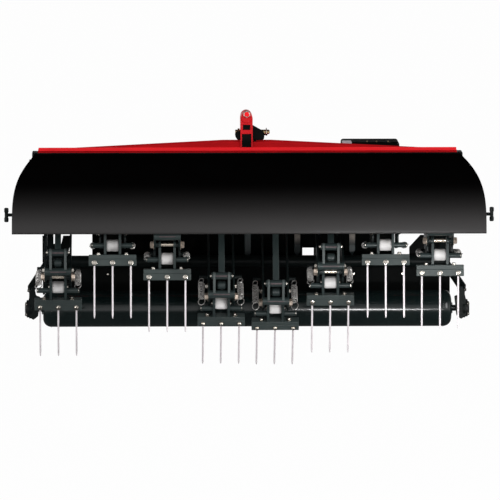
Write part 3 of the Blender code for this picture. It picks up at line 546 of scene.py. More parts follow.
def link_outline(start: Point2, end: Point2, first: float, last: float, steps: int = 14) -> np.ndarray:
    """The outline of a link: a half circle about each end, joined by its sides.

    Args:
        start: The middle of one end.
        end: The middle of the other.
        first: The radius at the start.
        last: The radius at the end.
        steps: Points in each half circle, less one.

    Returns:
        The outline.
    """
    tip = math.atan2(end[1] - start[1], end[0] - start[0]) - math.pi / 2 + np.linspace(0, math.pi, steps + 1)
    far = np.array(end) + last * np.stack([np.cos(tip), np.sin(tip)], axis=1)
    near = np.array(start) - first * np.stack([np.cos(tip), np.sin(tip)], axis=1)
    return np.concatenate([far, near])


def slab(start: Point3, end: Point3, width: float, depth: float) -> Shell:
    """A flat bar between two points: p = start + s (end - start) with corners w/2 U and d/2 V.

    Args:
        start: The middle of one end.
        end: The middle of the other.
        width: Its width, along X as nearly as its direction lets it be.
        depth: Its thickness.

    Returns:
        The closed surface.
    """
    a, b = np.array(start, float), np.array(end, float)
    along = (b - a) / np.linalg.norm(b - a)
    across = np.array(Axis.X.value) - along * along[0]
    across = across / np.linalg.norm(across)
    corners = np.array([(-1, -1), (1, -1), (1, 1), (-1, 1)], float)
    ring = corners[:, :1] * across * width / 2 + corners[:, 1:] * np.cross(along, across) * depth / 2
    return skinned(np.stack([a + ring, b + ring]))


def hex_bolts(
    seats: list[Point3], side: int, size: float, head: float, axis: Axis = Axis.X, washer: bool = True
) -> list[Shell]:
    """Bolt heads on their washers: six-sided, with a turned crown.

    Args:
        seats: The middle of the face that each is tightened on.
        side: +1 or -1, the way they stand out along the axis.
        size: Radius over their corners.
        head: Their height.
        axis: The bolts' direction.
        washer: Whether they have one.

    Returns:
        The shells of the heads, their crowns and their washers.
    """
    lift = WASHER if washer else 0.0
    top = lift + head
    turned = [([(lift - SUNK, size), (top - head * 0.2, size), (top, size * 0.84)], 6)]
    turned.append(([(top - 0.0005, size * 0.74), (top + 0.0008, size * 0.6)], 24))
    if washer:
        turned.append(([(-SUNK, size * 1.3), (lift * 0.8, size * 1.3), (lift, size * 1.22)], 28))
    return [lathe(profile, seat, sides, axis, side=side) for seat in seats for profile, sides in turned]


def piece(
    name: str,
    shells: list[Shell],
    finish: Finish,
    bevel: float = 0.0,
    body: str = "frame",
    replaces: str = "",
    segments: int = 2,
    slot: Slot | None = None,
) -> bpy.types.Object:
    """Makes one object of some shells, dresses it and lets it ride.

    Args:
        name: The object's name.
        shells: Its closed surfaces.
        finish: What it is coated with or made of.
        bevel: Width of its broken edges, 0 for none.
        body: The body that it moves with; a piece that spans two bodies has none here.
        replaces: The CAD node that it stands for, if it does.
        segments: Faces across a broken edge.
        slot: Not used.

    Returns:
        The object.
    """
    counts = np.cumsum([0] + [len(shell.points) for shell in shells])
    rows = [faces + base for shell, base in zip(shells, counts) for faces in shell.faces]
    mesh = bpy.data.meshes.new(name)
    points = np.concatenate([shell.points for shell in shells]).tolist()
    mesh.from_pydata(points, [], [tuple(face) for faces in rows for face in faces.tolist()])
    turned = bmesh.new()
    turned.from_mesh(mesh)
    bmesh.ops.recalc_face_normals(turned, faces=turned.faces)
    turned.to_mesh(mesh)
    turned.free()
    mesh.shade_smooth()
    mesh.set_sharp_from_angle(angle=SHARP)
    made = bpy.data.objects.new(name, mesh)
    bpy.context.scene.collection.objects.link(made)
    mesh.materials.append(finish.material())
    if bevel:
        edges = made.modifiers.new("broken_edges", "BEVEL")
        edges.width = bevel
        edges.segments = segments
        edges.limit_method = "ANGLE"
        edges.angle_limit = BEVELLED
        edges.harden_normals = False
    if body:
        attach(made, body)
    if replaces:
        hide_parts(replaces)
    log.info("%s: %d faces on %s", name, len(mesh.polygons), body or "two bodies")
    return made


@dataclass
class Layout:
    """Shaft lines as (y, z), the linkage and the heads' places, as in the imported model."""

    pivot: Point2 = (-0.230, 0.066)
    crank: Point2 = (-0.370, 0.210)
    front_tube: Point2 = (-0.110, 0.045)
    roller_axis: Point2 = (-0.290, -0.275)
    torsion_tube: Point2 = (-0.150, -0.095)
    top: Point2 = (-0.420, 0.070)
    throw: float = 0.0950
    rod: float = 0.3439
    beam_y: Point2 = (-0.350, -0.250)
    crank_bore: float = 0.0167
    tine_pitch: float = 0.074
    head_pitch: float = 0.222
    plate_inside: float = 0.885
    plate_thickness: float = 0.012
    rest_degrees: tuple[int, ...] = (19, -8, 0, 33, 38, 16, -8, -2)

    @property
    def plate_outside(self) -> float:
        """The side plates' outer faces."""
        return self.plate_inside + self.plate_thickness

    @property
    def tines(self) -> Point3:
        """The three tines' places across a head."""
        return (-self.tine_pitch, 0.0, self.tine_pitch)

    def head_x(self, number: int) -> float:
        """The middle of head 1 to 8 across the machine."""
        return (number - (len(self.rest_degrees) + 1) / 2) * self.head_pitch

    def angle(self, number: int) -> float:
        """The rest angle of head 1 to 8."""
        return math.radians(self.rest_degrees[number - 1])

    def top_pin(self, number: int) -> Point2:
        """The top pin of head 1 to 8: its place on the arm, turned about the pivot shaft."""
        c, s, (y, z) = math.cos(self.angle(number)), math.sin(self.angle(number)), self.top
        return (self.pivot[0] + y * c - z * s, self.pivot[1] + y * s + z * c)

    def crank_pin(self, number: int) -> Point2:
        """The crank pin of a head: where a circle about its top pin meets the crank circle.

        Args:
            number: The head, 1 to 8.

        Returns:
            The pin's y and z.
        """
        y, z = self.top_pin(number)
        dy, dz = self.crank[0] - y, self.crank[1] - z
        reach = math.hypot(dy, dz)
        opening = math.acos((self.rod**2 + reach**2 - self.throw**2) / (2 * self.rod * reach))
        heading = math.atan2(dz, dy) + opening
        return (y + self.rod * math.cos(heading), z + self.rod * math.sin(heading))


@dataclass
class TopFrame:
    """Red top beam with its bright hinge strip, and the mast for the top link."""

    layout: Layout
    beam_bottom: float = 0.352
    beam_half: float = 0.860
    top_middle: float = 0.420
    top_end: float = 0.388
    flat_middle: float = 0.100
    flat_end: float = 0.720
    cap_drop: float = 0.055
    strip_depth: float = 0.006
    strip_z: Point2 = (0.383, 0.397)
    mast_x: float = -0.004
    mast_half: float = 0.0250
    mast_wall: float = 0.0058
    mast_y: Point2 = (-0.356, -0.236)
    mast_neck: float = 0.520
    cap_radius: float = 0.0236
    foot_drop: float = 0.035
    window_half: float = 0.015
    window_height: float = 0.021
    bar_drop: float = 0.004
    bar_height: float = 0.017
    bar_depth: float = 0.029
    nut_rise: float = 0.0145
    pin: Point2 = (-0.300, 0.4563)
    pin_radius: float = 0.0095
    pin_x: Point2 = (-0.050, 0.092)
    collar: Point2 = (0.008, 0.0145)
    clip_x: float = 0.078
    clip_radius: float = 0.0155
    latch_plate: tuple[Point2, ...] = (
        (0.0, 0.0), (0.041, 0.0), (0.048, 0.005), (0.050, 0.025), (0.046, 0.035), (0.034, 0.044)
    )
    latch_tab: tuple[Point2, ...] = (
        (0.0, 0.0), (0.0, 0.037), (-0.014, 0.038), (-0.024, 0.026), (-0.021, 0.012), (-0.012, 0.0)
    )

    def beam(self) -> list[Shell]:
        """The tapered box beam, closed at both ends.

        Returns:
            Its shell.
        """
        end = self.beam_half
        half = [(end, self.beam_bottom), (end, self.top_end), (self.flat_end, self.top_end)]
        outline = symmetric(half + [(self.flat_middle, self.top_middle)])
        return [extruded(outline, *self.layout.beam_y, Axis.Y)]

    def end_caps(self) -> list[Shell]:
        """A black block at each end, between the beam and its side plate.

        Returns:
            Both shells.
        """
        (rear, front), low, high = self.layout.beam_y, self.beam_bottom - self.cap_drop, self.top_end - 0.012
        ends = [span(side, self.beam_half - 0.001, self.layout.plate_inside - 0.0003) for side in SIDES]
        return [block((a, rear + 0.004, low), (b, front - 0.004, high)) for a, b in ends]

    def strip(self) -> list[Shell]:
        """The bright edge strip over the hood's hinge.

        Returns:
            Its shell.
        """
        half, rear = self.beam_half - 0.002, self.layout.beam_y[0]
        low, high = self.strip_z
        return [block((-half, rear - self.strip_depth, low), (half, rear + 0.001, high))]

    def mast(self) -> list[Shell]:
        """Two cheeks under a rounded cap, tied at the back by a bar, two posts beside a window, and a lintel.

        Returns:
            The shells.
        """
        rear, front = self.mast_y
        inside = self.mast_half - self.mast_wall
        wide, back = inside + 0.001, rear + self.bar_depth
        foot, neck = self.top_middle - self.foot_drop, self.mast_neck
        cheek = rounded([(rear, foot), (front, foot), (front, neck), (rear, neck)], 0.012)
        shells = [extruded(cheek, *span(side, inside, self.mast_half)) for side in SIDES]
        bar = self.pin[1] - self.bar_drop
        window, lintel = bar + self.bar_height, bar + self.bar_height + self.window_height
        shells.append(block((-wide, rear, bar), (wide, back, window)))
        for side in SIDES:
            low, high = span(side, self.window_half, wide)
            shells.append(block((low, rear + 0.0004, window - 0.001), (high, back, lintel + 0.001)))
        shells.append(block((-wide, rear, lintel), (wide, front, neck)))
        radius, depth = self.cap_radius, front - rear
        cap = symmetric([(-0.004, radius - 0.003), (-0.001, radius)], depth / 2)
        shells.append(lathe(cap, (0, rear, neck), 48, Axis.Y))
        return [shell.moved((self.mast_x, 0, 0)) for shell in shells]

    def panel(self) -> list[Shell]:
        """A near-black sheet of painted shade between the mast's cheeks, standing for the shade inside the
        mast.

        Returns:
            Its shell.
        """
        inside, rear = self.mast_half - self.mast_wall + 0.0005, self.layout.beam_y[0]
        low = (-inside, rear - 0.0022, self.strip_z[1] + 0.001)
        return [block(low, (inside, rear + 0.010, self.mast_neck - 0.020)).moved((self.mast_x, 0, 0))]

    def build(self) -> None:
        """Makes the beam, strip, mast, top bolt, link pin and the latch bracket beside the mast."""
        bolt = (self.mast_x + 0.001, self.mast_y[0] - 0.003, self.mast_neck + self.nut_rise)
        piece("top_beam", self.beam(), BEAM_RED, 0.004, replaces="hitch_frame", segments=3)
        piece("beam_ends", self.end_caps(), FRAME_BLACK, 0.004)
        piece("hinge_strip", self.strip(), STRIP_RED, 0.0015)
        piece("link_mast", self.mast(), MAST_RED, 0.0015)
        # Painted shade: a near-black sheet inside the mast.
        piece("mast_painted_shade", self.panel(), PAINTED_SHADE, 0.0008)
        piece("mast_nut", hex_bolts([bolt], -1, 0.0155, 0.011, Axis.Y, washer=False), ZINC)
        stud = lathe([(0.0, 0.0105), (-0.014, 0.0105), (-0.016, 0.0085)], bolt, 32, Axis.Y)
        piece("mast_stud", [stud], STRIP_RED)
        self.link_pin()
        self.latch()

    def link_pin(self) -> None:
        """Makes the cross pin with its collar, and the ring of its spring clip."""
        low, high = self.pin_x
        radius, length, (wide, tall) = self.pin_radius, high - low, self.collar
        near = self.mast_x - self.mast_half - 0.0028 - wide - low
        profile = [(0.0, 0.0080), (0.0015, radius), (near, radius), (near + 0.0001, tall)]
        profile += [(near + wide - 0.0001, tall), (near + wide, radius)]
        profile += [(length - 0.004, radius), (length, 0.006)]
        turned = lathe(profile, (low, *self.pin))
        piece("top_link_pin_turned", [turned], YELLOW_ZINC, replaces="top_link_pin")
        ring = hoop(self.clip_x, self.pin, np.full(40, self.clip_radius), 0.0017, 10)
        piece("link_pin_clip", [ring], ZINC)

    def latch(self) -> None:
        """Makes the black bracket and gusset on the mast's right, and the tab on its left."""
        left, edge = self.mast_x - self.mast_half + 0.001, self.mast_x + self.mast_half - 0.001
        y, base = self.mast_y[0] + 0.010, self.top_middle + 0.006
        plate = shifted(self.latch_plate, edge, base) + [(edge, self.mast_neck - 0.031)]
        tab = shifted(self.latch_tab, left, base)
        shells = [extruded(rounded(outline, 0.003), y, y + 0.008, Axis.Y) for outline in (plate, tab)]
        shells.append(block((edge + 0.049, y + 0.001, base + 0.020), (edge + 0.062, y + 0.005, base + 0.025)))
        shells.append(block((edge + 0.006, y, base - 0.012), (edge + 0.016, y + 0.040, base + 0.004)))
        piece("latch_bracket", shells, PAINTED_SHADE, 0.001)


@dataclass
class Hood:
    """Rolled sheet hood, wider where it comes down behind the heads, with a hinge and side pegs."""

    hinge: Point2 = (-0.3563, 0.370)
    bottom: Point2 = (-0.715, 0.078)
    lip: float = 0.018
    hem: float = 0.006
    sheet: float = 0.004
    half_hinge: float = 0.875
    flare: float = 0.088
    knuckle_count: int = 25
    knuckle_gap: float = 0.0012
    knuckle_radius: float = 0.006
    peg_z: float = 0.153
    peg_reach: float = 0.985
    peg_height: float = 0.058
    peg_radius: float = 0.0068
    boss: float = 0.016

    def half_width(self, rise: np.ndarray | float) -> np.ndarray | float:
        """Half width at a share of the height: the bottom's, less the flare times rise^4."""
        return self.half_hinge + self.flare * (1 - rise**4)

    def path(self) -> np.ndarray:
        """The sheet's middle line: y = y0 + (y1 - y0) sin a, z = z1 + (z0 - z1) cos a, then its hem and lip.

        Returns:
            Rows of y, z and half width.
        """
        (y0, z0), (y1, z1) = self.hinge, self.bottom
        angle = np.linspace(0, math.acos(self.hem / (z0 - z1)), 44)
        y, z = y0 + (y1 - y0) * np.sin(angle), z1 + (z0 - z1) * np.cos(angle)
        roll = np.stack([y, z, self.half_width(np.cos(angle))], 1)
        turn = np.linspace(0, math.pi / 2, 7)[1:]
        widest = self.half_hinge + self.flare
        y, z = y1 + self.hem * (1 - np.cos(turn)), z1 + self.hem * (1 - np.sin(turn))
        hem = np.stack([y, z, np.full_like(turn, widest)], 1)
        return np.concatenate([roll, hem, [(y1 + self.lip, z1, widest)]])

    def skin(self) -> Shell:
        """The sheet as a closed loop round its middle line: p(s, u) = (u w(s), c(s) +- n(s) t/2).

        Returns:
            The closed surface.
        """
        line = self.path()
        step = np.diff(line[:, :2], axis=0)
        across = np.stack([-step[:, 1], step[:, 0]], 1) / np.linalg.norm(step, axis=1)[:, None]
        mitre = np.concatenate([across[:1], across[:-1] + across[1:], across[-1:]])
        mitre *= self.sheet / 2 / np.linalg.norm(mitre, axis=1)[:, None]
        loop = np.concatenate([line[:, :2] + mitre, (line[:, :2] - mitre)[::-1]])
        width = np.concatenate([line[:, 2], line[::-1, 2]])
        share = np.linspace(-1, 1, 41)
        grid = np.empty((len(share), len(loop), 3))
        grid[..., 0] = share[:, None] * width
        grid[..., 1:] = loop
        count = len(loop)
        j = np.arange(count // 2 - 1)
        side = np.stack([j, count - 1 - j, count - 2 - j, j + 1], 1)
        faces = [wrapped_quads(len(share), count, False), side, side + (len(share) - 1) * count]
        return Shell(grid.reshape(-1, 3), faces)

    def knuckles(self) -> list[Shell]:
        """The hinge barrel as a row of knuckles with small gaps.

        Returns:
            The shells.
        """
        half, gap = self.half_hinge + 0.002, self.knuckle_gap
        pitch = 2 * half / self.knuckle_count
        starts = (-half + pitch * np.arange(self.knuckle_count) + gap / 2).tolist()
        return [soft_rod((x, *self.hinge), pitch - gap, self.knuckle_radius, 0.0006, 20) for x in starts]

    def pegs(self) -> list[Shell]:
        """A T-shaped peg on a boss inside each side edge.

        Returns:
            The shells.
        """
        (y0, z0), (y1, z1) = self.hinge, self.bottom
        z, half, head = self.peg_z, self.boss, self.peg_height
        rise = (z + half - z1) / (z0 - z1)
        wall = y0 + (y1 - y0) * math.sqrt(1 - rise**2)
        edge, y = self.half_width(rise), wall + 0.013
        profile = symmetric([(0, 0.006), (0.003, 0.009), (0.016, 0.009), (0.020, 0.0072)], head / 2)
        shells = []
        for side in SIDES:
            low, high = span(side, edge - 0.040, edge - 0.004)
            shells.append(block((low, wall + 0.0005, z - half), (high, wall + 0.024, z + half)))
            low, high = span(side, edge - 0.010, self.peg_reach)
            shells.append(soft_rod((low, y, z), high - low, self.peg_radius, 0.001, 28))
            shells.append(lathe(profile, (side * self.peg_reach, y, z - head / 2), 32, Axis.Z))
        return shells

    def build(self) -> None:
        """Makes the sheet, its hinge and its pegs."""
        piece("hood_sheet", [self.skin()], HOOD_PAINTED_LIGHT, 0.0008, "rear_hood", "hood")
        piece("hood_hinge", self.knuckles(), FRAME_BLACK, body="rear_hood", slot=Slot.HOOD)
        piece("hood_pegs", self.pegs(), FRAME_BLACK, 0.0015, "rear_hood")


@dataclass
class Roller:
    """Hollow ground roller with rounded shoulders."""

    layout: Layout
    radius: float = 0.075
    half: float = 0.842
    shoulder: float = 0.034
    axle: float = 0.0125
    bore: float = 0.006
    reach: float = 0.906
    bead: float = 0.0016
    ripples: int = 46

    def build(self) -> None:
        """Makes the drum with its axle stubs, and a weld bead where each shoulder starts."""
        half, reach, axle, arc = self.half, self.reach, self.axle, self.shoulder
        axis = self.layout.roller_axis
        outer = [(-reach, self.bore), (-reach, axle - 0.0015), (-reach + 0.0015, axle)]
        outer += [(-half - 0.006, axle), (-half - 0.005, 0.022), (-half, 0.024)]
        for a in np.linspace(0, math.pi / 2, 14).tolist():
            outer.append((-half + arc * (1 - math.cos(a)), self.radius - arc * (1 - math.sin(a))))
        profile = symmetric(outer) + [(half - 0.02, self.bore), (-half + 0.02, self.bore)]
        drum = lathe(profile, (0, *axis), 144, ring=True)
        piece("roller_drum", [drum], ROLLER_BLACK, body="ground_roller", replaces="roller")
        radius = self.radius - 0.0002 + 0.0004 * np.sin(self.ripples * full_turn(160))
        beads = [hoop(side * (half - arc), axis, radius, self.bead) for side in SIDES]
        piece("roller_beads", beads, ROLLER_BLACK, body="ground_roller")


@dataclass
class RollerFrame:
    """Swinging frame that sets the depth: eyes, arms, torsion tube, deflector and end plates."""

    layout: Layout
    arm_x: float = 0.820
    arm_width: float = 0.040
    arm_depth: float = 0.030
    bar_share: float = 0.7
    tube_radius: float = 0.025
    eye_bore: float = 0.0304
    eye_radius: float = 0.042
    plate_x: Point2 = (0.888, 0.900)
    foot: Point2 = (-0.235, -0.200)
    axle_bore: float = 0.0128
    end_radius: float = 0.040
    link_start: float = 0.030
    deflector_half: float = 0.845
    deflector_z: Point2 = (-0.235, -0.075)
    bolt_x: Point3 = (-0.575, 0.446, 0.647)
    bolt_rise: float = 0.085
    plate_bolts: tuple[Point3, ...] = ((0.009, -0.022, 0.020), (0.009, -0.020, -0.022), (0.0, 0.048, 0.070))
    guard_y: Point2 = (-0.127, -0.121)
    guard_x: Point2 = (0.676, 0.846)
    gusset_y: Point2 = (-0.325, -0.319)
    gusset: tuple[Point2, ...] = (
        (0.853, -0.222), (0.870, -0.217), (0.877, -0.180), (0.889, -0.184),
        (0.902, -0.236), (0.902, -0.303), (0.882, -0.318), (0.862, -0.302),
    )

    def arms(self) -> list[Shell]:
        """On each side an eye, a drop arm, a slanted bar and the end plate round the axle.

        Returns:
            The shells, with the torsion tube between the sides.
        """
        tube, (y, z), axle = self.layout.torsion_tube, self.layout.front_tube, self.layout.roller_axis
        wide, thick, radius = self.arm_width / 2, self.arm_depth, self.eye_radius
        eye = symmetric([(-wide, self.eye_bore), (-wide, radius - 0.0015), (-wide + 0.0015, radius)])
        heading = math.atan2(self.foot[1] - axle[1], self.foot[0] - axle[0])
        near = (axle[0] + self.link_start * math.cos(heading), axle[1] + self.link_start * math.sin(heading))
        link = link_outline(near, self.foot, 0.012, 0.020)
        shells = [cross_bar(tube, self.arm_x + 0.001, self.tube_radius, 0.002, 48)]
        for side in SIDES:
            x, (low, high) = side * self.arm_x, span(side, *self.plate_x)
            shells.append(lathe(eye, (x, y, z), 48, ring=True))
            foot = ((low + high) / 2, *self.foot)
            shells.append(slab((x, y - 0.008, z - radius + 0.004), (x, *tube), 2 * wide, thick))
            shells.append(slab((x, *tube), foot, 2 * wide * self.bar_share, thick))
            shells.append(bored((low, *axle), high - low, self.axle_bore, self.end_radius, 56))
            shells.append(extruded(link, low, high))
        return shells

    def hardware(self) -> list[Shell]:
        """Bolts on the end plates and along the deflector.

        Returns:
            The shells.
        """
        shells: list[Shell] = []
        y, z = self.layout.roller_axis
        for side in SIDES:
            seats = [(side * (self.plate_x[1] + out), y + dy, z + dz) for out, dy, dz in self.plate_bolts]
            shells += hex_bolts(seats, side, 0.0065, 0.005)
        seats = [(x, self.sheet_y, self.deflector_z[0] + self.bolt_rise) for x in self.bolt_x]
        return shells + hex_bolts(seats, -1, 0.0048, 0.004, Axis.Y, washer=False)

    @property
    def sheet_y(self) -> float:
        """The deflector's rear face, a little inside the torsion tube's front."""
        return self.layout.torsion_tube[0] + self.tube_radius - 0.0025

    def deflector(self) -> list[Shell]:
        """The sheet under the torsion tube, with a folded lower edge.

        Returns:
            Its shells.
        """
        rear, (low, high), half = self.sheet_y, self.deflector_z, self.deflector_half
        sheet = block((-half, rear, low), (half, rear + 0.005, high))
        fold = half - 0.004
        return [sheet, block((-fold, rear - 0.012, low + 0.010), (fold, rear + 0.001, low + 0.015))]

    def guards(self) -> list[Shell]:
        """A plate over the gap at each end, between torsion and front tube; the left one is cut away.

        Returns:
            Both shells.
        """
        low, high = self.layout.torsion_tube[1] - 0.005, self.layout.front_tube[1] - 0.034
        near, far = self.guard_x
        right = [(near, low), (far, low), (far, high), (0.722, high), (near, high - 0.050)]
        left = [(-0.700, low), (-far, low), (-far, high), (-0.811, high), (-0.806, high - 0.034)]
        left += [(-0.768, high - 0.034), (-0.760, high), (-0.723, high), (-0.738, high - 0.070)]
        return [extruded(outline, *self.guard_y, Axis.Y) for outline in (left, right)]

    def gussets(self) -> list[Shell]:
        """A face plate behind each axle end, under the slanted bar."""
        outlines = [rounded([(side * x, z) for x, z in self.gusset], 0.005) for side in SIDES]
        return [extruded(outline, *self.gusset_y, Axis.Y) for outline in outlines]

    def bearings(self) -> list[Shell]:
        """A turned bearing block on both faces of each end plate, round the axle.

        Returns:
            The shells.
        """
        near, far = self.plate_x
        outer = [(0.0, 0.0132), (0.0, 0.036), (0.009, 0.036), (0.011, 0.029), (0.015, 0.027), (0.017, 0.0132)]
        inner = [(0.0, 0.0132), (0.0, 0.030), (-0.014, 0.026), (-0.020, 0.024), (-0.020, 0.0132)]
        axle, blocks = self.layout.roller_axis, ((far, outer), (near, inner))
        return [lathe(ring, (s * x, *axle), 48, ring=True, side=s) for s in SIDES for x, ring in blocks]

    def build(self) -> None:
        """Makes the frame, its sheet and its bolts."""
        body = "roller_carrier"
        piece("end_guards", self.guards(), PAINTED_SHADE, 0.0008, body)
        piece("end_gussets", self.gussets(), FRAME_BLACK, 0.001, body)
        piece("roller_bearings", self.bearings(), GEAR_BLACK, body=body)
        piece("roller_arms", self.arms(), FRAME_BLACK, 0.0015, body, "roller_frame")
        piece("deflector_sheet", self.deflector(), PAINTED_SHADE, 0.0008, body)
        piece("roller_frame_bolts", self.hardware(), ZINC, body=body)


@dataclass
class SideFrame:
    """Side plates with crank bearings, pivot shaft, front tube with lugs, and the front shield."""

    layout: Layout
    margin: float = 0.040
    plate_top: float = 0.340
    bearing: float = 0.045
    bearing_depth: float = 0.015
    bolt_circle: float = 0.039
    tube_bolts: tuple[Point2, ...] = ((-0.130, 0.052), (-0.092, 0.052))
    pivot_radius: float = 0.020
    pivot_cap: tuple[Point2, ...] = ((0.0003, 0.026), (0.0015, 0.028), (0.0075, 0.028), (0.010, 0.024))
    tube_radius: float = 0.030
    shield_x: Point2 = (-0.640, 0.610)
    shield_z: Point2 = (-0.085, 0.318)
    notch_x: Point2 = (0.2335, 0.2805)
    notch_top: float = -0.046
    housing_x: Point2 = (0.3735, 0.508)
    housing_z: float = 0.152
    strap_x: tuple[Point2, ...] = ((0.006, -0.088), (0.212, -0.082), (0.440, -0.078))
    strap_half: float = 0.013
    pad_half: float = 0.012
    pad_z: Point2 = (-0.034, 0.018)
    lower_pin_x: float = 0.3415
    lower_pin_radius: float = 0.011
    lug_gap: float = 0.060
    lug_thickness: float = 0.012

    def plate_outline(self) -> list[Point2]:
        """The side plate's corners, from behind the crank bearing round its foot to the beam.

        Returns:
            The corners.
        """
        layout, e = self.layout, self.margin
        (cy, cz), (py, pz), (ty, tz) = layout.crank, layout.pivot, layout.front_tube
        corners = [(cy - 2 * e, cz - 1.75 * e), (cy + e / 2, cz - 3 * e), (py - e, pz - 0.033)]
        corners += [(py + e, pz - 0.033), (ty - e, tz - 0.024), (ty + e, tz - 0.024), (ty + e, tz + 1.5 * e)]
        (rear, front), top = layout.beam_y, self.plate_top
        corners += [(front + e, top - 0.015), (front + e / 4, top), (rear - e / 8, top)]
        return corners + [(cy - e, top - 0.002), (cy - 2 * e, cz + 2 * e)]

    def plates(self) -> None:
        """Makes both plates with their flanged bearings and bolts."""
        layout, depth, radius, bore = self.layout, self.bearing_depth, self.bearing, self.layout.crank_bore
        flange = [(-0.001, bore), (-0.001, radius), (depth * 0.5, radius), (depth * 0.6, radius * 0.8)]
        flange += [(depth * 0.95, radius * 0.76), (depth, radius * 0.7), (depth, bore)]
        outline = rounded(self.plate_outline(), 0.014)
        for name, side in (("left", -1), ("right", 1)):
            face = side * layout.plate_outside
            plate = extruded(outline, *span(side, layout.plate_inside, layout.plate_outside))
            piece(f"{name}_plate", [plate], FRAME_BLACK, 0.001, replaces=f"{name}_side_plate")
            bearing = lathe(flange, (face, *layout.crank), 56, ring=True, side=side)
            piece(f"{name}_bearing", [bearing], GEAR_BLACK)
            seats = [(face + side * depth * 0.5, *at) for at in four_round(layout.crank, self.bolt_circle)]
            bolts = hex_bolts(seats, side, 0.0052, 0.004)
            bolts += hex_bolts([(face, *at) for at in self.tube_bolts], side, 0.0065, 0.005)
            piece(f"{name}_plate_bolts", bolts, ZINC)

    def pivot_shaft(self) -> None:
        """Makes the arms' pivot shaft, with a cap on each side plate."""
        reach, pivot = self.layout.plate_outside, self.layout.pivot
        shells = [cross_bar(pivot, reach + 0.002, self.pivot_radius, 0.001, 40)]
        shells += [lathe(self.pivot_cap, (side * reach, *pivot), 40, side=side) for side in SIDES]
        piece("arm_shaft", shells, PIN_STEEL, replaces="pivot_shaft")

    def front_tube(self) -> None:
        """Makes the front tube with its lower lugs, and their pins."""
        (y, z), half, thick = self.layout.front_tube, self.lug_gap / 2, self.lug_thickness
        shells = [cross_bar((y, z), self.layout.plate_inside - 0.0003, self.tube_radius, 0.001, 56)]
        lug = [(y - 0.034, z + 0.020), (y + 0.020, z + 0.034), (0.012, 0.024), (0.024, 0.006)]
        lug = rounded(lug + [(0.020, -0.018), (-0.004, -0.024), (y - 0.020, z - 0.034)], 0.010)
        pins: list[Shell] = []
        reach = half + thick + 0.010
        for side in SIDES:
            for near in (self.lower_pin_x - half - thick, self.lower_pin_x + half):
                shells.append(extruded(lug, *span(side, near, near + thick)))
            start = (side * self.lower_pin_x - reach, 0, 0)
            pins.append(soft_rod(start, 2 * reach, self.lower_pin_radius, 0.002, 40))
        piece("front_cross_tube", shells, FRAME_BLACK, 0.0012, replaces="front_tube")
        piece("lower_link_pins", pins, YELLOW_ZINC)

    def shield(self) -> None:
        """Makes the front shield, cut out round the drive housing and notched below, with two folds."""
        rear = self.layout.front_tube[0] + self.tube_radius - 0.0025
        (left, right), (bottom, top), (a, b) = self.shield_x, self.shield_z, self.notch_x
        (low, high), ledge = self.housing_x, self.housing_z
        outline = [(left, bottom), (a, bottom), (a, self.notch_top), (b, self.notch_top), (b, bottom)]
        outline += [(right, bottom), (right, top), (high, top), (high, ledge), (low, ledge), (low, top)]
        shells = [extruded(outline + [(left, top)], rear, rear + 0.005, Axis.Y)]
        for z, end in ((0.120, right), (0.235, low)):
            shells.append(block((left + 0.01, rear - 0.009, z), (end - 0.01, rear + 0.001, z + 0.012)))
        piece("front_shield", shells, SHIELD_PAINTED_SHADE, 0.0008)
        self.straps(rear)

    def straps(self, rear: float) -> None:
        """Makes the straps behind the shield, with a slanted foot each, and the brown pads on two of them,
        darker towards their bottom.

        Args:
            rear: The shield's rear face.
        """
        straps, top = [], self.shield_z[1]
        for x, end in self.strap_x:
            low, high = x - self.strap_half, x + self.strap_half
            foot = [(low, end + 0.018), (x, end), (high, end + 0.022), (high, top), (low, top)]
            straps.append(extruded(foot, rear - 0.0105, rear + 0.0005, Axis.Y))
        piece("shield_straps", straps, STRAP_GREY, 0.0015)
        low, high = self.pad_z
        pads = [(x - self.pad_half, x + self.pad_half) for x, _ in self.strap_x[1:]]
        pads = [block((a, rear - 0.0125, low), (b, rear - 0.0100, high)) for a, b in pads]
        piece("strap_pads", pads, PAD_BROWN, 0.001)

    def build(self) -> None:
        """Makes every piece of the fixed frame below the beam."""
        self.plates()
        self.pivot_shaft()
        self.front_tube()
        self.shield()


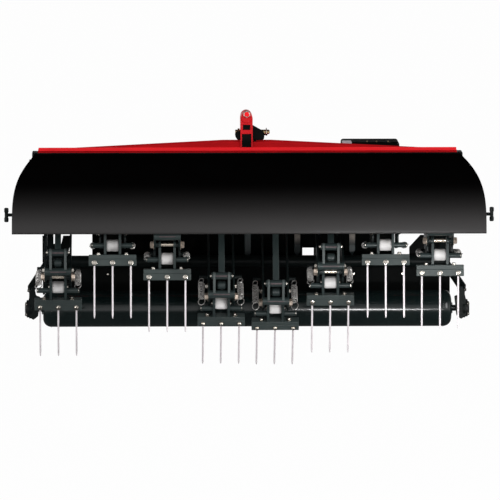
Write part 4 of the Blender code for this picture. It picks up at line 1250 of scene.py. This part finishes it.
@dataclass
class Drive:
    """Gearbox with its cover, the input stub and the main shaft with its crank arms."""

    layout: Layout
    box_x: Point2 = (0.385, 0.495)
    box_y: Point2 = (-0.410, -0.060)
    box_z: Point2 = (0.155, 0.335)
    ribs: int = 5
    pad_y: Point2 = (-0.340, -0.260)
    pad_top: float = 0.3515
    cover_x: Point2 = (0.392, 0.629)
    cover_y: Point2 = (-0.2447, -0.060)
    cover_top: float = 0.4075
    screw_x: Point3 = (0.496, 0.535, 0.583)
    input_z: float = 0.240
    bolt_circle: float = 0.027
    stub_radius: float = 0.0174
    spline: float = 0.0025
    shaft_radius: float = 0.016
    arm_x: Point2 = (0.0175, 0.0400)
    hub_radius: float = 0.026
    pin_radius: float = 0.022

    @property
    def middle(self) -> float:
        """The housing's middle across the machine."""
        return sum(self.box_x) / 2

    def housing(self) -> None:
        """Makes the housing with its ribs, bosses and pad under the beam, then its cover and its bolts."""
        (x0, x1), (y0, y1), (z0, z1), (p0, p1) = self.box_x, self.box_y, self.box_z, self.pad_y
        bore = self.layout.crank_bore
        shells = [block((x0 + 0.008, y0, z0), (x1 - 0.008, y1, z1))]
        shells.append(block((x0 + 0.010, p0, z1 - 0.020), (x1 - 0.010, p1, self.pad_top)))
        for y in np.linspace(y0 + 0.09, y1 - 0.03, self.ribs).tolist():
            shells.append(block((x0, y, z0 + 0.006), (x1, y + 0.006, z1 - 0.006)))
        ring = [(0.0, bore), (0.0, 0.038), (0.002, 0.040), (0.020, 0.040), (0.020, bore)]
        for x, side in ((x0 - 0.010, 1), (x1 + 0.010, -1)):
            shells.append(lathe(ring, (x, *self.layout.crank), 48, ring=True, side=side))
        boss = [(-0.010, 0.0182), (-0.010, 0.036), (0.014, 0.036), (0.018, 0.033), (0.018, 0.0182)]
        shells.append(lathe(boss, (self.middle, y1, self.input_z), 48, Axis.Y, ring=True))
        piece("gear_housing", shells, GEAR_BLACK, 0.004, replaces="gearbox", segments=3)
        self.cover()
        places = four_round((self.middle, self.input_z), self.bolt_circle)
        seats = [(x, y1 + 0.018, z) for x, z in places]
        piece("gear_bolts", hex_bolts(seats, 1, 0.005, 0.004, Axis.Y, washer=False), ZINC)

    def cover(self) -> None:
        """Makes the cover over the housing, its breather cap and its screws."""
        (x0, x1), (y0, y1), top = self.cover_x, self.cover_y, self.cover_top
        lid = block((x0, y0, self.box_z[1] - 0.014), (x1, y1, top))
        piece("gear_cover", [lid], PAINTED_SHADE, 0.010, segments=4)
        breather = block((x0 + 0.002, y0 - 0.002, top - 0.016), (x0 + 0.040, y0 + 0.060, top + 0.003))
        piece("cover_breather", [breather], PALE_CAP, 0.003)
        seats = [(x, y0 + 0.024, top) for x in self.screw_x]
        piece("cover_screws", hex_bolts(seats, 1, 0.0035, 0.003, Axis.Z, washer=False), YELLOW_ZINC)

    def stub(self) -> None:
        """Makes the splined stub: r(t) = R - d (1 + tanh(6 cos 6t)) / 2, with a catch groove near its end."""
        turn = full_turn(144)
        ripple = self.spline * (1 + np.tanh(6 * np.cos(6 * turn))) / 2
        stations = [(-0.0197, 0.0), (0.018, 0.0), (0.050, 0.0), (0.052, 0.003), (0.058, 0.003)]
        along, cut = np.array(stations + [(0.060, 0.0), (0.073, 0.0), (0.0752, 0.0025)]).T[..., None]
        r = self.stub_radius - ripple - cut
        y = np.broadcast_to(self.box_y[1] + along, r.shape)
        grid = np.stack([self.middle + r * np.cos(turn), y, self.input_z + r * np.sin(turn)], -1)
        piece("input_stub", [skinned(grid)], PIN_STEEL, body="power_input", replaces="input_shaft")

    def main_shaft(self) -> None:
        """Makes the main shaft with a forged crank arm beside each rod, and a bolt in each arm."""
        crank, (near, far) = self.layout.crank, self.arm_x
        shells = [cross_bar(crank, self.layout.plate_outside + 0.019, self.shaft_radius, 0.0015, 40)]
        seats = []
        for number in range(1, len(self.layout.rest_degrees) + 1):
            x, pin = self.layout.head_x(number), self.layout.crank_pin(number)
            arm = link_outline(crank, pin, self.hub_radius, self.pin_radius, 20)
            shells.append(extruded(arm, x + near, x + far))
            seats.append((x + far, *pin))
        body = "crank_assembly"
        piece("main_shaft", shells, ARM_BLACK, 0.0015, body, "crankshaft")
        piece("crank_bolts", hex_bolts(seats, 1, 0.010, 0.004), ZINC, body=body)

    def build(self) -> None:
        """Makes the drive."""
        self.housing()
        self.stub()
        self.main_shaft()


@dataclass
class TineHead:
    """One head: arm, rod, tine holder, bumper and two springs, in the arm's frame about the pivot shaft."""

    layout: Layout
    number: int
    stub: Point2 = (-0.420, -0.100)
    kick: Point2 = (-0.420, -0.039)
    cross: Point2 = (-0.450, -0.002)
    roll: Point2 = (-0.390, -0.099)
    anchor: Point2 = (-0.225, -0.095)
    cheek_x: Point2 = (0.0465, 0.0545)
    fork_x: Point2 = (0.025, 0.035)
    pin_washer: float = 0.006
    stub_reach: float = 0.088
    stub_clear: float = 0.0175
    clamp_half: float = 0.097
    clamp_z: Point2 = (-0.183, -0.138)
    clamp_depth: float = 0.032
    clamp_split: float = 0.62
    clamp_nut_x: float = 0.056
    tine_radius: float = 0.0037
    tine_tip: float = -0.397
    bumper_radius: float = 0.0245
    stop_gap: float = 0.0103
    stop_radius: float = 0.0099
    kick_radius: float = 0.0068
    roll_pin_radius: float = 0.0093
    roll_bore: float = 0.0103
    anchor_radius: float = 0.0085
    rod_size: Point2 = (0.025, 0.020)
    rod_eye: float = 0.0145
    spring_x: float = 0.080
    wire: float = 0.0019
    coil: float = 0.0115
    turns: int = 9
    seats: Point2 = (0.0098, 0.0088)
    coil_gaps: Point2 = (0.008, 0.038)
    hook_long: float = 0.021
    hook_short: float = 0.014
    hook_radii: Point2 = (0.0135, 0.0100)
    hook_twist: float = 0.003

    @property
    def angle(self) -> float:
        """The head's rest angle."""
        return self.layout.angle(self.number)

    @property
    def x(self) -> float:
        """The head's middle across the machine."""
        return self.layout.head_x(self.number)

    @property
    def stop_y(self) -> float:
        """The stop bar's place, just clear of the bumper."""
        return self.roll[0] + self.bumper_radius + self.stop_gap

    def placed(self, shells: list[Shell]) -> list[Shell]:
        """The shells swung to the rest angle and carried to the pivot shaft."""
        return [shell.swung(self.angle).moved((self.x, *self.layout.pivot)) for shell in shells]

    def make(
        self,
        name: str,
        shells: list[Shell],
        finish: Finish,
        bevel: float = 0.0,
        body: str = "head",
        node: str = "",
    ) -> bpy.types.Object:
        """Makes one piece of this head, whose number ends the name, the body and the CAD node.

        Args:
            name: The piece's name.
            shells: Its closed surfaces; those of the rod stand in place, the others in the arm's frame.
            finish: What it is coated with or made of.
            bevel: Width of its broken edges.
            body: The body that it moves with.
            node: The CAD node that it stands for.

        Returns:
            The object.
        """
        end = f"_{self.number}"
        shells = shells if body == "rod" else self.placed(shells)
        return piece(name + end, shells, finish, bevel, body and body + end, node and node + end)

    def pair(self, outline: Outline, across: Point2) -> list[Shell]:
        """A plate on the right and its mirror image on the left."""
        return [extruded(outline, *span(side, *across)) for side in (1, -1)]

    def cheeks(self) -> list[Shell]:
        """Two side plates with a foot for the stop bar and one for the spring bar.

        Returns:
            Both plates.
        """
        clear, stop = self.stub[0] + self.stub_clear, self.stop_y
        (cy, cz), (ky, kz), (ay, az), low = self.cross, self.kick, self.anchor, self.stub[1]
        outline = [(0.030, 0.018), (-0.360, 0.030), (-0.425, 0.020), (cy - 0.010, cz + 0.011)]
        outline += [(cy - 0.014, cz - 0.013), (ky - 0.020, kz - 0.012), (clear, kz - 0.023)]
        outline += [(clear, low - 0.008), (stop + 0.016, low - 0.010), (stop + 0.030, -0.045)]
        outline += [(ay - 0.030, -0.035), (ay - 0.013, az - 0.012), (ay + 0.013, az - 0.012)]
        outline += [(ay + 0.030, -0.030), (0.030, -0.018)]
        return self.pair(rounded(outline, 0.010), self.cheek_x)

    def tubes(self) -> list[Shell]:
        """The pivot eye, the cross sleeve, the round buffer above it, the stop bar and the pins' spacers.

        Returns:
            The shells.
        """
        (inside, out), far, thick, (cy, cz) = self.cheek_x, self.fork_x[1], self.pin_washer, self.cross
        eye = symmetric([(-out, 0.0209), (-out, 0.0325), (-out + 0.0015, 0.034)])
        sleeve = symmetric([(-0.0550, 0.0140), (-0.0540, 0.0165), (-0.046, 0.0165), (-0.045, 0.0158)])
        buffer = symmetric([(-0.0200, 0.006), (-0.0185, 0.012), (-0.013, 0.0175)])
        spacer = [(0.0, 0.0100), (0.0008, 0.0108), (0.0105, 0.0108), (0.0125, 0.0100)]
        shells = [lathe(eye, (0, 0, 0), 48, ring=True), lathe(sleeve, (0, cy, cz))]
        shells.append(lathe(buffer, (0, cy + 0.026, cz + 0.027)))
        shells.append(cross_bar((self.stop_y, self.roll[1]), inside + 0.001, self.stop_radius))
        for side in SIDES:
            start = (span(side, far, far + thick)[0], *self.layout.top)
            shells.append(soft_rod(start, thick, 0.0135, sides=36))
            shells.append(lathe(spacer, (side * (far + 0.0006), *self.kick), 32, side=side))
        return shells

    def arm(self) -> None:
        """Makes the arm: cheeks with the spring bars, the fork and the tubes."""
        out = self.cheek_x[1]
        sides = self.cheeks()
        for side in SIDES:
            low, high = span(side, out - 0.001, self.stub_reach)
            sides.append(soft_rod((low, *self.anchor), high - low, self.anchor_radius, 0.0015, 28))
        self.make("arm_cheeks", sides, CHEEK_BLACK, 0.0009)
        fork = link_outline(self.cross, self.layout.top, 0.0125, 0.016)
        self.make("arm_fork", self.pair(fork, self.fork_x), FORK_GREY, 0.0012)
        self.make("arm_weldment", self.tubes(), ARM_BLACK, 0.0009, node="arm")

    def pins(self) -> None:
        """Makes the bright pins and bolts of the arm, and the painted reflection line on its cross sleeve."""
        out, far, (y, z) = self.cheek_x[1], self.fork_x[1], self.kick
        self.make("kick_pin", [cross_bar(self.kick, far + 0.0005, self.kick_radius)], CREAM_PIN)
        bright: list[Shell] = []
        nuts: list[Shell] = []
        for side in SIDES:
            nuts += hex_bolts([(side * out, y, z)], side, 0.0150, 0.0125)
            bright += hex_bolts([(side * out, y + 0.075, z - 0.006)], side, 0.0110, 0.008)
            bright += hex_bolts([(side * (far + self.pin_washer), *self.layout.top)], side, 0.0066, 0.005)
        self.make("arm_bolts", bright, ZINC)
        self.make("kick_nuts", nuts, BRONZE_NUT)
        # Painted reflection: a brown line along the cross sleeve, facing straight back at rest.
        self.make("cross_painted_reflection", [self.painted_reflection_line(self.cross, 0.0158, 0.033, 0.0040)], REFLECTION_BROWN)

    def painted_reflection_line(self, middle: Point2, radius: float, half: float, thick: float) -> Shell:
        """A painted reflection on a tube: a thin brown bar sunk in its surface, facing straight back at rest.

        Args:
            middle: The tube's axis in the arm's frame.
            radius: The tube's radius.
            half: Half the line's length.
            thick: The bar's radius.

        Returns:
            The bar.
        """
        out = radius - thick + 0.0006
        point = (middle[0] - out * math.cos(self.angle), middle[1] + out * math.sin(self.angle))
        return cross_bar(point, half, thick, 0.0006, 20)

    def holder(self) -> None:
        """Makes the tine holder: two plates, the stub tubes and the clamp bar in two halves."""
        (y, z), (ry, rz), (low, high), (near, far) = self.kick, self.roll, self.clamp_z, self.fork_x
        web = [(y - 0.0165, z - 0.0095), (y + 0.0165, z - 0.0095), (ry + 0.014, rz + 0.012)]
        web += [(ry + 0.014, rz - 0.012), (y + 0.0160, high + 0.001), (y - 0.0160, high + 0.001)]
        tube = [(0.0, 0.0105), (0.046, 0.0105), (0.047, 0.0095), (0.0525, 0.0095), (0.053, 0.0088)]
        shells = self.pair(rounded(web, 0.004), self.fork_x)
        for side in SIDES:
            shells.append(bored((span(side, near, far)[0], y, z), far - near, 0.0088, 0.017, 40))
            shells.append(lathe(tube, (side * far, *self.stub), 36, side=side))
        shells.append(cross_bar(self.roll, near + 0.001, self.roll_pin_radius, 0.0005, 28))
        self.make("holder_plates", shells, ARM_BLACK, 0.0007, "holder", "tine_holder")
        half, rear, front = self.clamp_half, y - self.clamp_depth / 2, y + self.clamp_depth / 2
        split = low + (high - low) * self.clamp_split
        bars = [block((-half, rear, low), (half, front, split - 0.0004))]
        half -= 0.0005
        bars.append(block((-half, rear + 0.0012, split - 0.0010), (half, front - 0.0012, high)))
        self.make("clamp_bar", bars, CLAMP_BLACK, 0.0016, "holder")
        self.fasteners(rear)

    def fasteners(self, rear: float) -> None:
        """Makes the clamp bolts on the rear face, the nuts on top and the rings at the stub ends.

        Args:
            rear: The clamp bar's rear face.
        """
        low, high = self.clamp_z
        ring = [(0, 0.0108), (0.0006, 0.0114), (0.0026, 0.0114), (0.0032, 0.0108)]
        shells = hex_bolts([(x, rear, low + 0.0125) for x in self.layout.tines], -1, 0.0078, 0.0052, Axis.Y)
        seats = [(side * self.clamp_nut_x, self.kick[0], high) for side in SIDES]
        shells += hex_bolts(seats, 1, 0.0080, 0.0068, Axis.Z)
        for side in SIDES:
            shells += hex_bolts([(side * self.fork_x[1], *self.roll)], side, 0.0060, 0.004)
            shells.append(lathe(ring, (side * (self.stub_reach - 0.0065), *self.stub), 32, side=side))
        self.make("clamp_bolts", shells, ZINC, body="holder")

    def tines(self) -> None:
        """Makes the tines: straight round bars that taper to a blunt, rounded point."""
        low, r = self.clamp_z[0], self.tine_radius
        length = low - self.tine_tip
        taper = ((0.016, 1.0), (0.008, 0.80), (0.003, 0.58), (0.0008, 0.36), (0.0, 0.14))
        profile = [(-0.002, r)] + [(length - a, r * share) for a, share in taper]
        places = [(x, self.kick[0], low) for x in self.layout.tines]
        shells = [lathe(profile, place, 20, Axis.Z, side=-1) for place in places]
        self.make("tines", shells, TINE_STEEL, body="holder")

    def bumper(self) -> None:
        """Makes the white bumper, a roll with soft edges and a waist: r(a) = R - e a^10 - w (1 - a^2)."""
        half, r, bore = self.fork_x[0] - 0.0003, self.bumper_radius, self.roll_bore
        share = np.linspace(-1, 1, 21)
        radius = r - 0.0035 * np.abs(share) ** 10 - 0.0005 * (1 - share**2)
        rows = zip((share * half).tolist(), radius.tolist())
        roll = lathe([(-half, bore), *rows, (half, bore)], (0, *self.roll), 56, ring=True)
        self.make("bumper_roll", [roll], BUMPER_WHITE, body="holder", node="bumper")

    def connecting_rod(self) -> None:
        """Makes the flat rod with its eye and big end, a painted reflection line on the eye and the crank
        pin's nut.
        """
        (y, z), pin = self.layout.top_pin(self.number), self.layout.crank_pin(self.number)
        start = np.array([y, z]) + np.array([pin[0] - y, pin[1] - z]) / self.layout.rod * 0.0128
        half, tall = self.fork_x[0] - 0.0003, self.rod_eye
        eye = symmetric([(-half, 0.0100), (-half, tall - 0.0015), (-half + 0.0015, tall)])
        big = [(-0.0150, 0.020), (-0.0135, 0.022), (0.0160, 0.022), (0.0172, 0.0208)]
        shells = [lathe(eye, (self.x, y, z), ring=True), lathe(big, (self.x, *pin), 44)]
        shells.append(slab((self.x, *start), (self.x, *pin), *self.rod_size))
        self.make("rod_bar", shells, ARM_BLACK, 0.0012, "rod", "connecting_rod")
        # Painted reflection: a brown bar sunk in the back of the rod's eye.
        reflection_bar = soft_rod((self.x - 0.023, y - tall + 0.0050, z), 0.046, 0.0056, 0.0006, 20)
        self.make("eye_painted_reflection", [reflection_bar], REFLECTION_BROWN, body="rod")
        self.make("rod_nut", hex_bolts([(self.x - 0.0150, *pin)], -1, 0.011, 0.007), ZINC, body="rod")

    def spring(self, side: int) -> list[Shell]:
        """An extension spring: c(s) = (r cos s, v(s), r sin s) between its hooks, along v from stub to bar.

        Args:
            side: -1 for the left one, +1 for the right one.

        Returns:
            The coil, the hook rings, and the wire to each end.
        """
        (y0, z0), (y1, z1), wire, (wide, narrow) = self.stub, self.anchor, self.wire, self.hook_radii
        hook, short, twist = self.hook_long, self.hook_short, self.hook_twist
        reach = math.dist(self.stub, self.anchor)
        start, end = self.seats[0] + wire, reach - self.seats[1] - wire
        first, last = start + 2 * hook + self.coil_gaps[0], reach - self.coil_gaps[1]
        s = np.linspace(0, 2 * math.pi * self.turns, self.turns * 22)
        r = self.coil * np.sqrt(np.clip(np.minimum(s, s[-1] - s) / math.pi, 0.0, 1.0))
        coil = np.stack([r * np.cos(s), first + (last - first) * s / s[-1], r * np.sin(s)], 1)
        t = full_turn(40)
        rear = np.stack([wide * np.sin(t), first - hook * (1 + np.cos(t)), twist * np.sin(t)], 1)
        front = np.stack([narrow * np.sin(t), last + short * (1 - np.cos(t)), twist * np.sin(t)], 1)
        wires = [pipe(coil, wire), pipe(rear, wire, closed=True), pipe(front, wire, closed=True)]
        for low, high in ((start, first - 2 * hook + wire), (last + 2 * short - wire, end)):
            wires.append(pipe(np.linspace((0, low, 0), (0, high, 0), 8), wire * 0.8))
        slope, offset = math.atan2(z1 - z0, y1 - y0), (side * self.spring_x, y0, z0)
        return [made.swung(slope).moved(offset) for made in wires]

    def springs(self) -> None:
        """Makes both springs, each reaching from the arm's bar to the holder's stub at the rest angle."""
        for name, side in (("left", -1), ("right", 1)):
            made = self.make(f"{name}_coil", self.spring(side), SPRING_STEEL, body="", node=f"{name}_spring")
            ends = [(side * self.spring_x, *point) for point in (self.anchor, self.stub)]
            fixed, pulled = map(tuple, self.placed([Shell(np.array(ends), [])])[0].points)
            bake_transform(made)
            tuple(fixed)
            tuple(pulled)

    def build(self) -> None:
        """Makes the whole head."""
        self.arm()
        self.pins()
        self.holder()
        self.tines()
        self.bumper()
        self.connecting_rod()
        self.springs()


@dataclass(frozen=True)
class Lamp:
    """An area lamp: where it stands, what it looks at, its width and height, and its power in watts."""

    name: str
    place: Point3
    target: Point3
    size: Point2
    power: float

    def build(self) -> None:
        """Adds the lamp, turned to its target."""
        lamp = bpy.data.lights.new(self.name, "AREA")
        lamp.shape = "RECTANGLE"
        lamp.size, lamp.size_y = self.size
        lamp.energy = self.power
        made = bpy.data.objects.new(self.name, lamp)
        bpy.context.scene.collection.objects.link(made)
        made.location = self.place
        x, y, z = np.array(self.target) - np.array(self.place)
        made.rotation_euler = (math.pi / 2 + math.atan2(z, math.hypot(x, y)), 0.0, math.atan2(-x, y))


@dataclass
class Studio:
    """White room: camera, lamps, world and floor."""

    aim: Point3 = (0.008, -0.45, -0.0165)
    distance: float = 26.0
    elevation: float = 6.0
    yaw: float = 1.2
    sensor: float = 36.0
    frame_width: float = 2.049
    floor_z: float = -1.06
    floor_reach: float = 60.0
    dark_floor: Point2 = (2.5, 9.0)
    overhead: Point2 = (0.60, -0.35)
    room_light: float = 0.62
    lamps: tuple[Lamp, ...] = (
        Lamp("right_softbox", (3.0, -2.6, 0.7), (0.2, -0.5, -0.1), (1.6, 1.6), 45.0),
        Lamp("left_softbox", (-3.0, -2.4, 0.9), (-0.2, -0.5, 0.0), (1.6, 1.6), 30.0),
        Lamp("roller_strip", (0.60, -1.90, -0.36), (0.60, -0.29, -0.275), (0.56, 0.10), 9.5),
    )

    def camera(self) -> None:
        """Sets the camera far behind the machine, a little to its left and above, with a long lens."""
        lens = bpy.data.cameras.new("camera")
        lens.sensor_width = self.sensor
        lens.lens = self.sensor * self.distance / self.frame_width
        lens.clip_end = 100.0
        eye = bpy.data.objects.new("camera", lens)
        bpy.context.scene.collection.objects.link(eye)
        up, side = math.radians(self.elevation), math.radians(self.yaw)
        level = self.distance * math.cos(up)
        back = np.array([level * math.sin(side), level * math.cos(side), -self.distance * math.sin(up)])
        eye.location = np.array(self.aim) - back
        eye.rotation_euler = (math.pi / 2 - up, 0.0, -side)
        bpy.context.scene.camera = eye

    def seen(self, net: Net) -> bpy.types.NodeSocket:
        """1 for rays of the camera, gloss and glass, and 0 for the light itself."""
        rays = net.add("LightPath", {}).outputs
        first = net.maths("MAXIMUM", rays["Is Camera Ray"], rays["Is Glossy Ray"])
        return net.maths("MAXIMUM", first, rays["Is Transmission Ray"])

    def world(self) -> None:
        """A room that is white at eye level and dark overhead, lower down in front than behind.

        The share of the way up is z / (0.60 - 0.35 y) of a ray's direction.
        """
        world = bpy.data.worlds.new("room")
        bpy.context.scene.world = world
        world.use_nodes = True
        net = Net(world.node_tree)
        place = net.add("TexCoord", {}).outputs["Generated"]
        parts = net.add("SeparateXYZ", {"Vector": place}).outputs
        straight, forward = self.overhead
        share = net.maths("DIVIDE", parts["Z"], net.maths("MULTIPLY_ADD", parts["Y"], forward, straight))
        height = net.ranged(share, (0.02, 1.0), (1.0, 0.02), smooth=True)
        inside = net.mixed(Mix.NUMBER, self.seen(net), self.room_light, height)
        camera_ray = net.add("LightPath", {}).outputs["Is Camera Ray"]
        level = net.mixed(Mix.NUMBER, camera_ray, inside, 1.0)
        net.feed(net.tree.nodes["Background"], {"Color": WHITE, "Strength": level})

    def floor(self) -> None:
        """A wide, pale floor under the machine."""
        reach, z = self.floor_reach, self.floor_z
        mesh = bpy.data.meshes.new("floor")
        corners = [(-reach, -reach, z), (reach, -reach, z), (reach, reach, z), (-reach, reach, z)]
        mesh.from_pydata(corners, [], [(0, 1, 2, 3)])
        floor = bpy.data.objects.new("floor", mesh)
        bpy.context.scene.collection.objects.link(floor)
        mesh.materials.append(self.pale())

    def pale(self) -> bpy.types.Material:
        """The floor's finish: white to the camera, pale to the light, dark to reflections near the machine.

        Returns:
            The material.
        """
        made = bpy.data.materials.new("pale_floor")
        made.use_nodes = True
        net = Net(made.node_tree)
        nodes = net.tree.nodes
        shader = net.feed(nodes["Principled BSDF"], {"Base Color": (0.86, 0.86, 0.86, 1.0), "Roughness": 0.9})
        far = net.add("VectorMath", {0: net.add("TexCoord", {}).outputs["Object"]})
        far.operation = "LENGTH"
        edge = net.ranged(far.outputs["Value"], self.dark_floor, (0.05, 1.0), smooth=True)
        camera_ray = net.add("LightPath", {}).outputs["Is Camera Ray"]
        glow = net.add("Emission", {"Strength": net.maths("MAXIMUM", camera_ray, edge)})
        share = net.ranged(self.seen(net), target=(0.0, 0.97))
        mix = net.add("MixShader", {"Fac": share, 1: shader.outputs["BSDF"], 2: glow.outputs["Emission"]})
        net.feed(nodes["Material Output"], {"Surface": mix.outputs["Shader"]})
        return made

    def build(self) -> None:
        """Sets up the room."""
        bpy.context.scene.view_settings.view_transform = "Standard"
        self.camera()
        for lamp in self.lamps:
            lamp.build()
        self.world()
        self.floor()


def main() -> None:
    """Builds every sub-assembly, then the room."""
    logging.basicConfig(level=logging.INFO, format="%(name)s: %(message)s")
    layout = Layout()
    TopFrame(layout).build()
    Hood().build()
    for assembly in (Roller, RollerFrame, SideFrame, Drive):
        assembly(layout).build()
    for number in range(1, len(layout.rest_degrees) + 1):
        TineHead(layout, number).build()
    Studio().build()


if __name__ == "__main__":
    main()
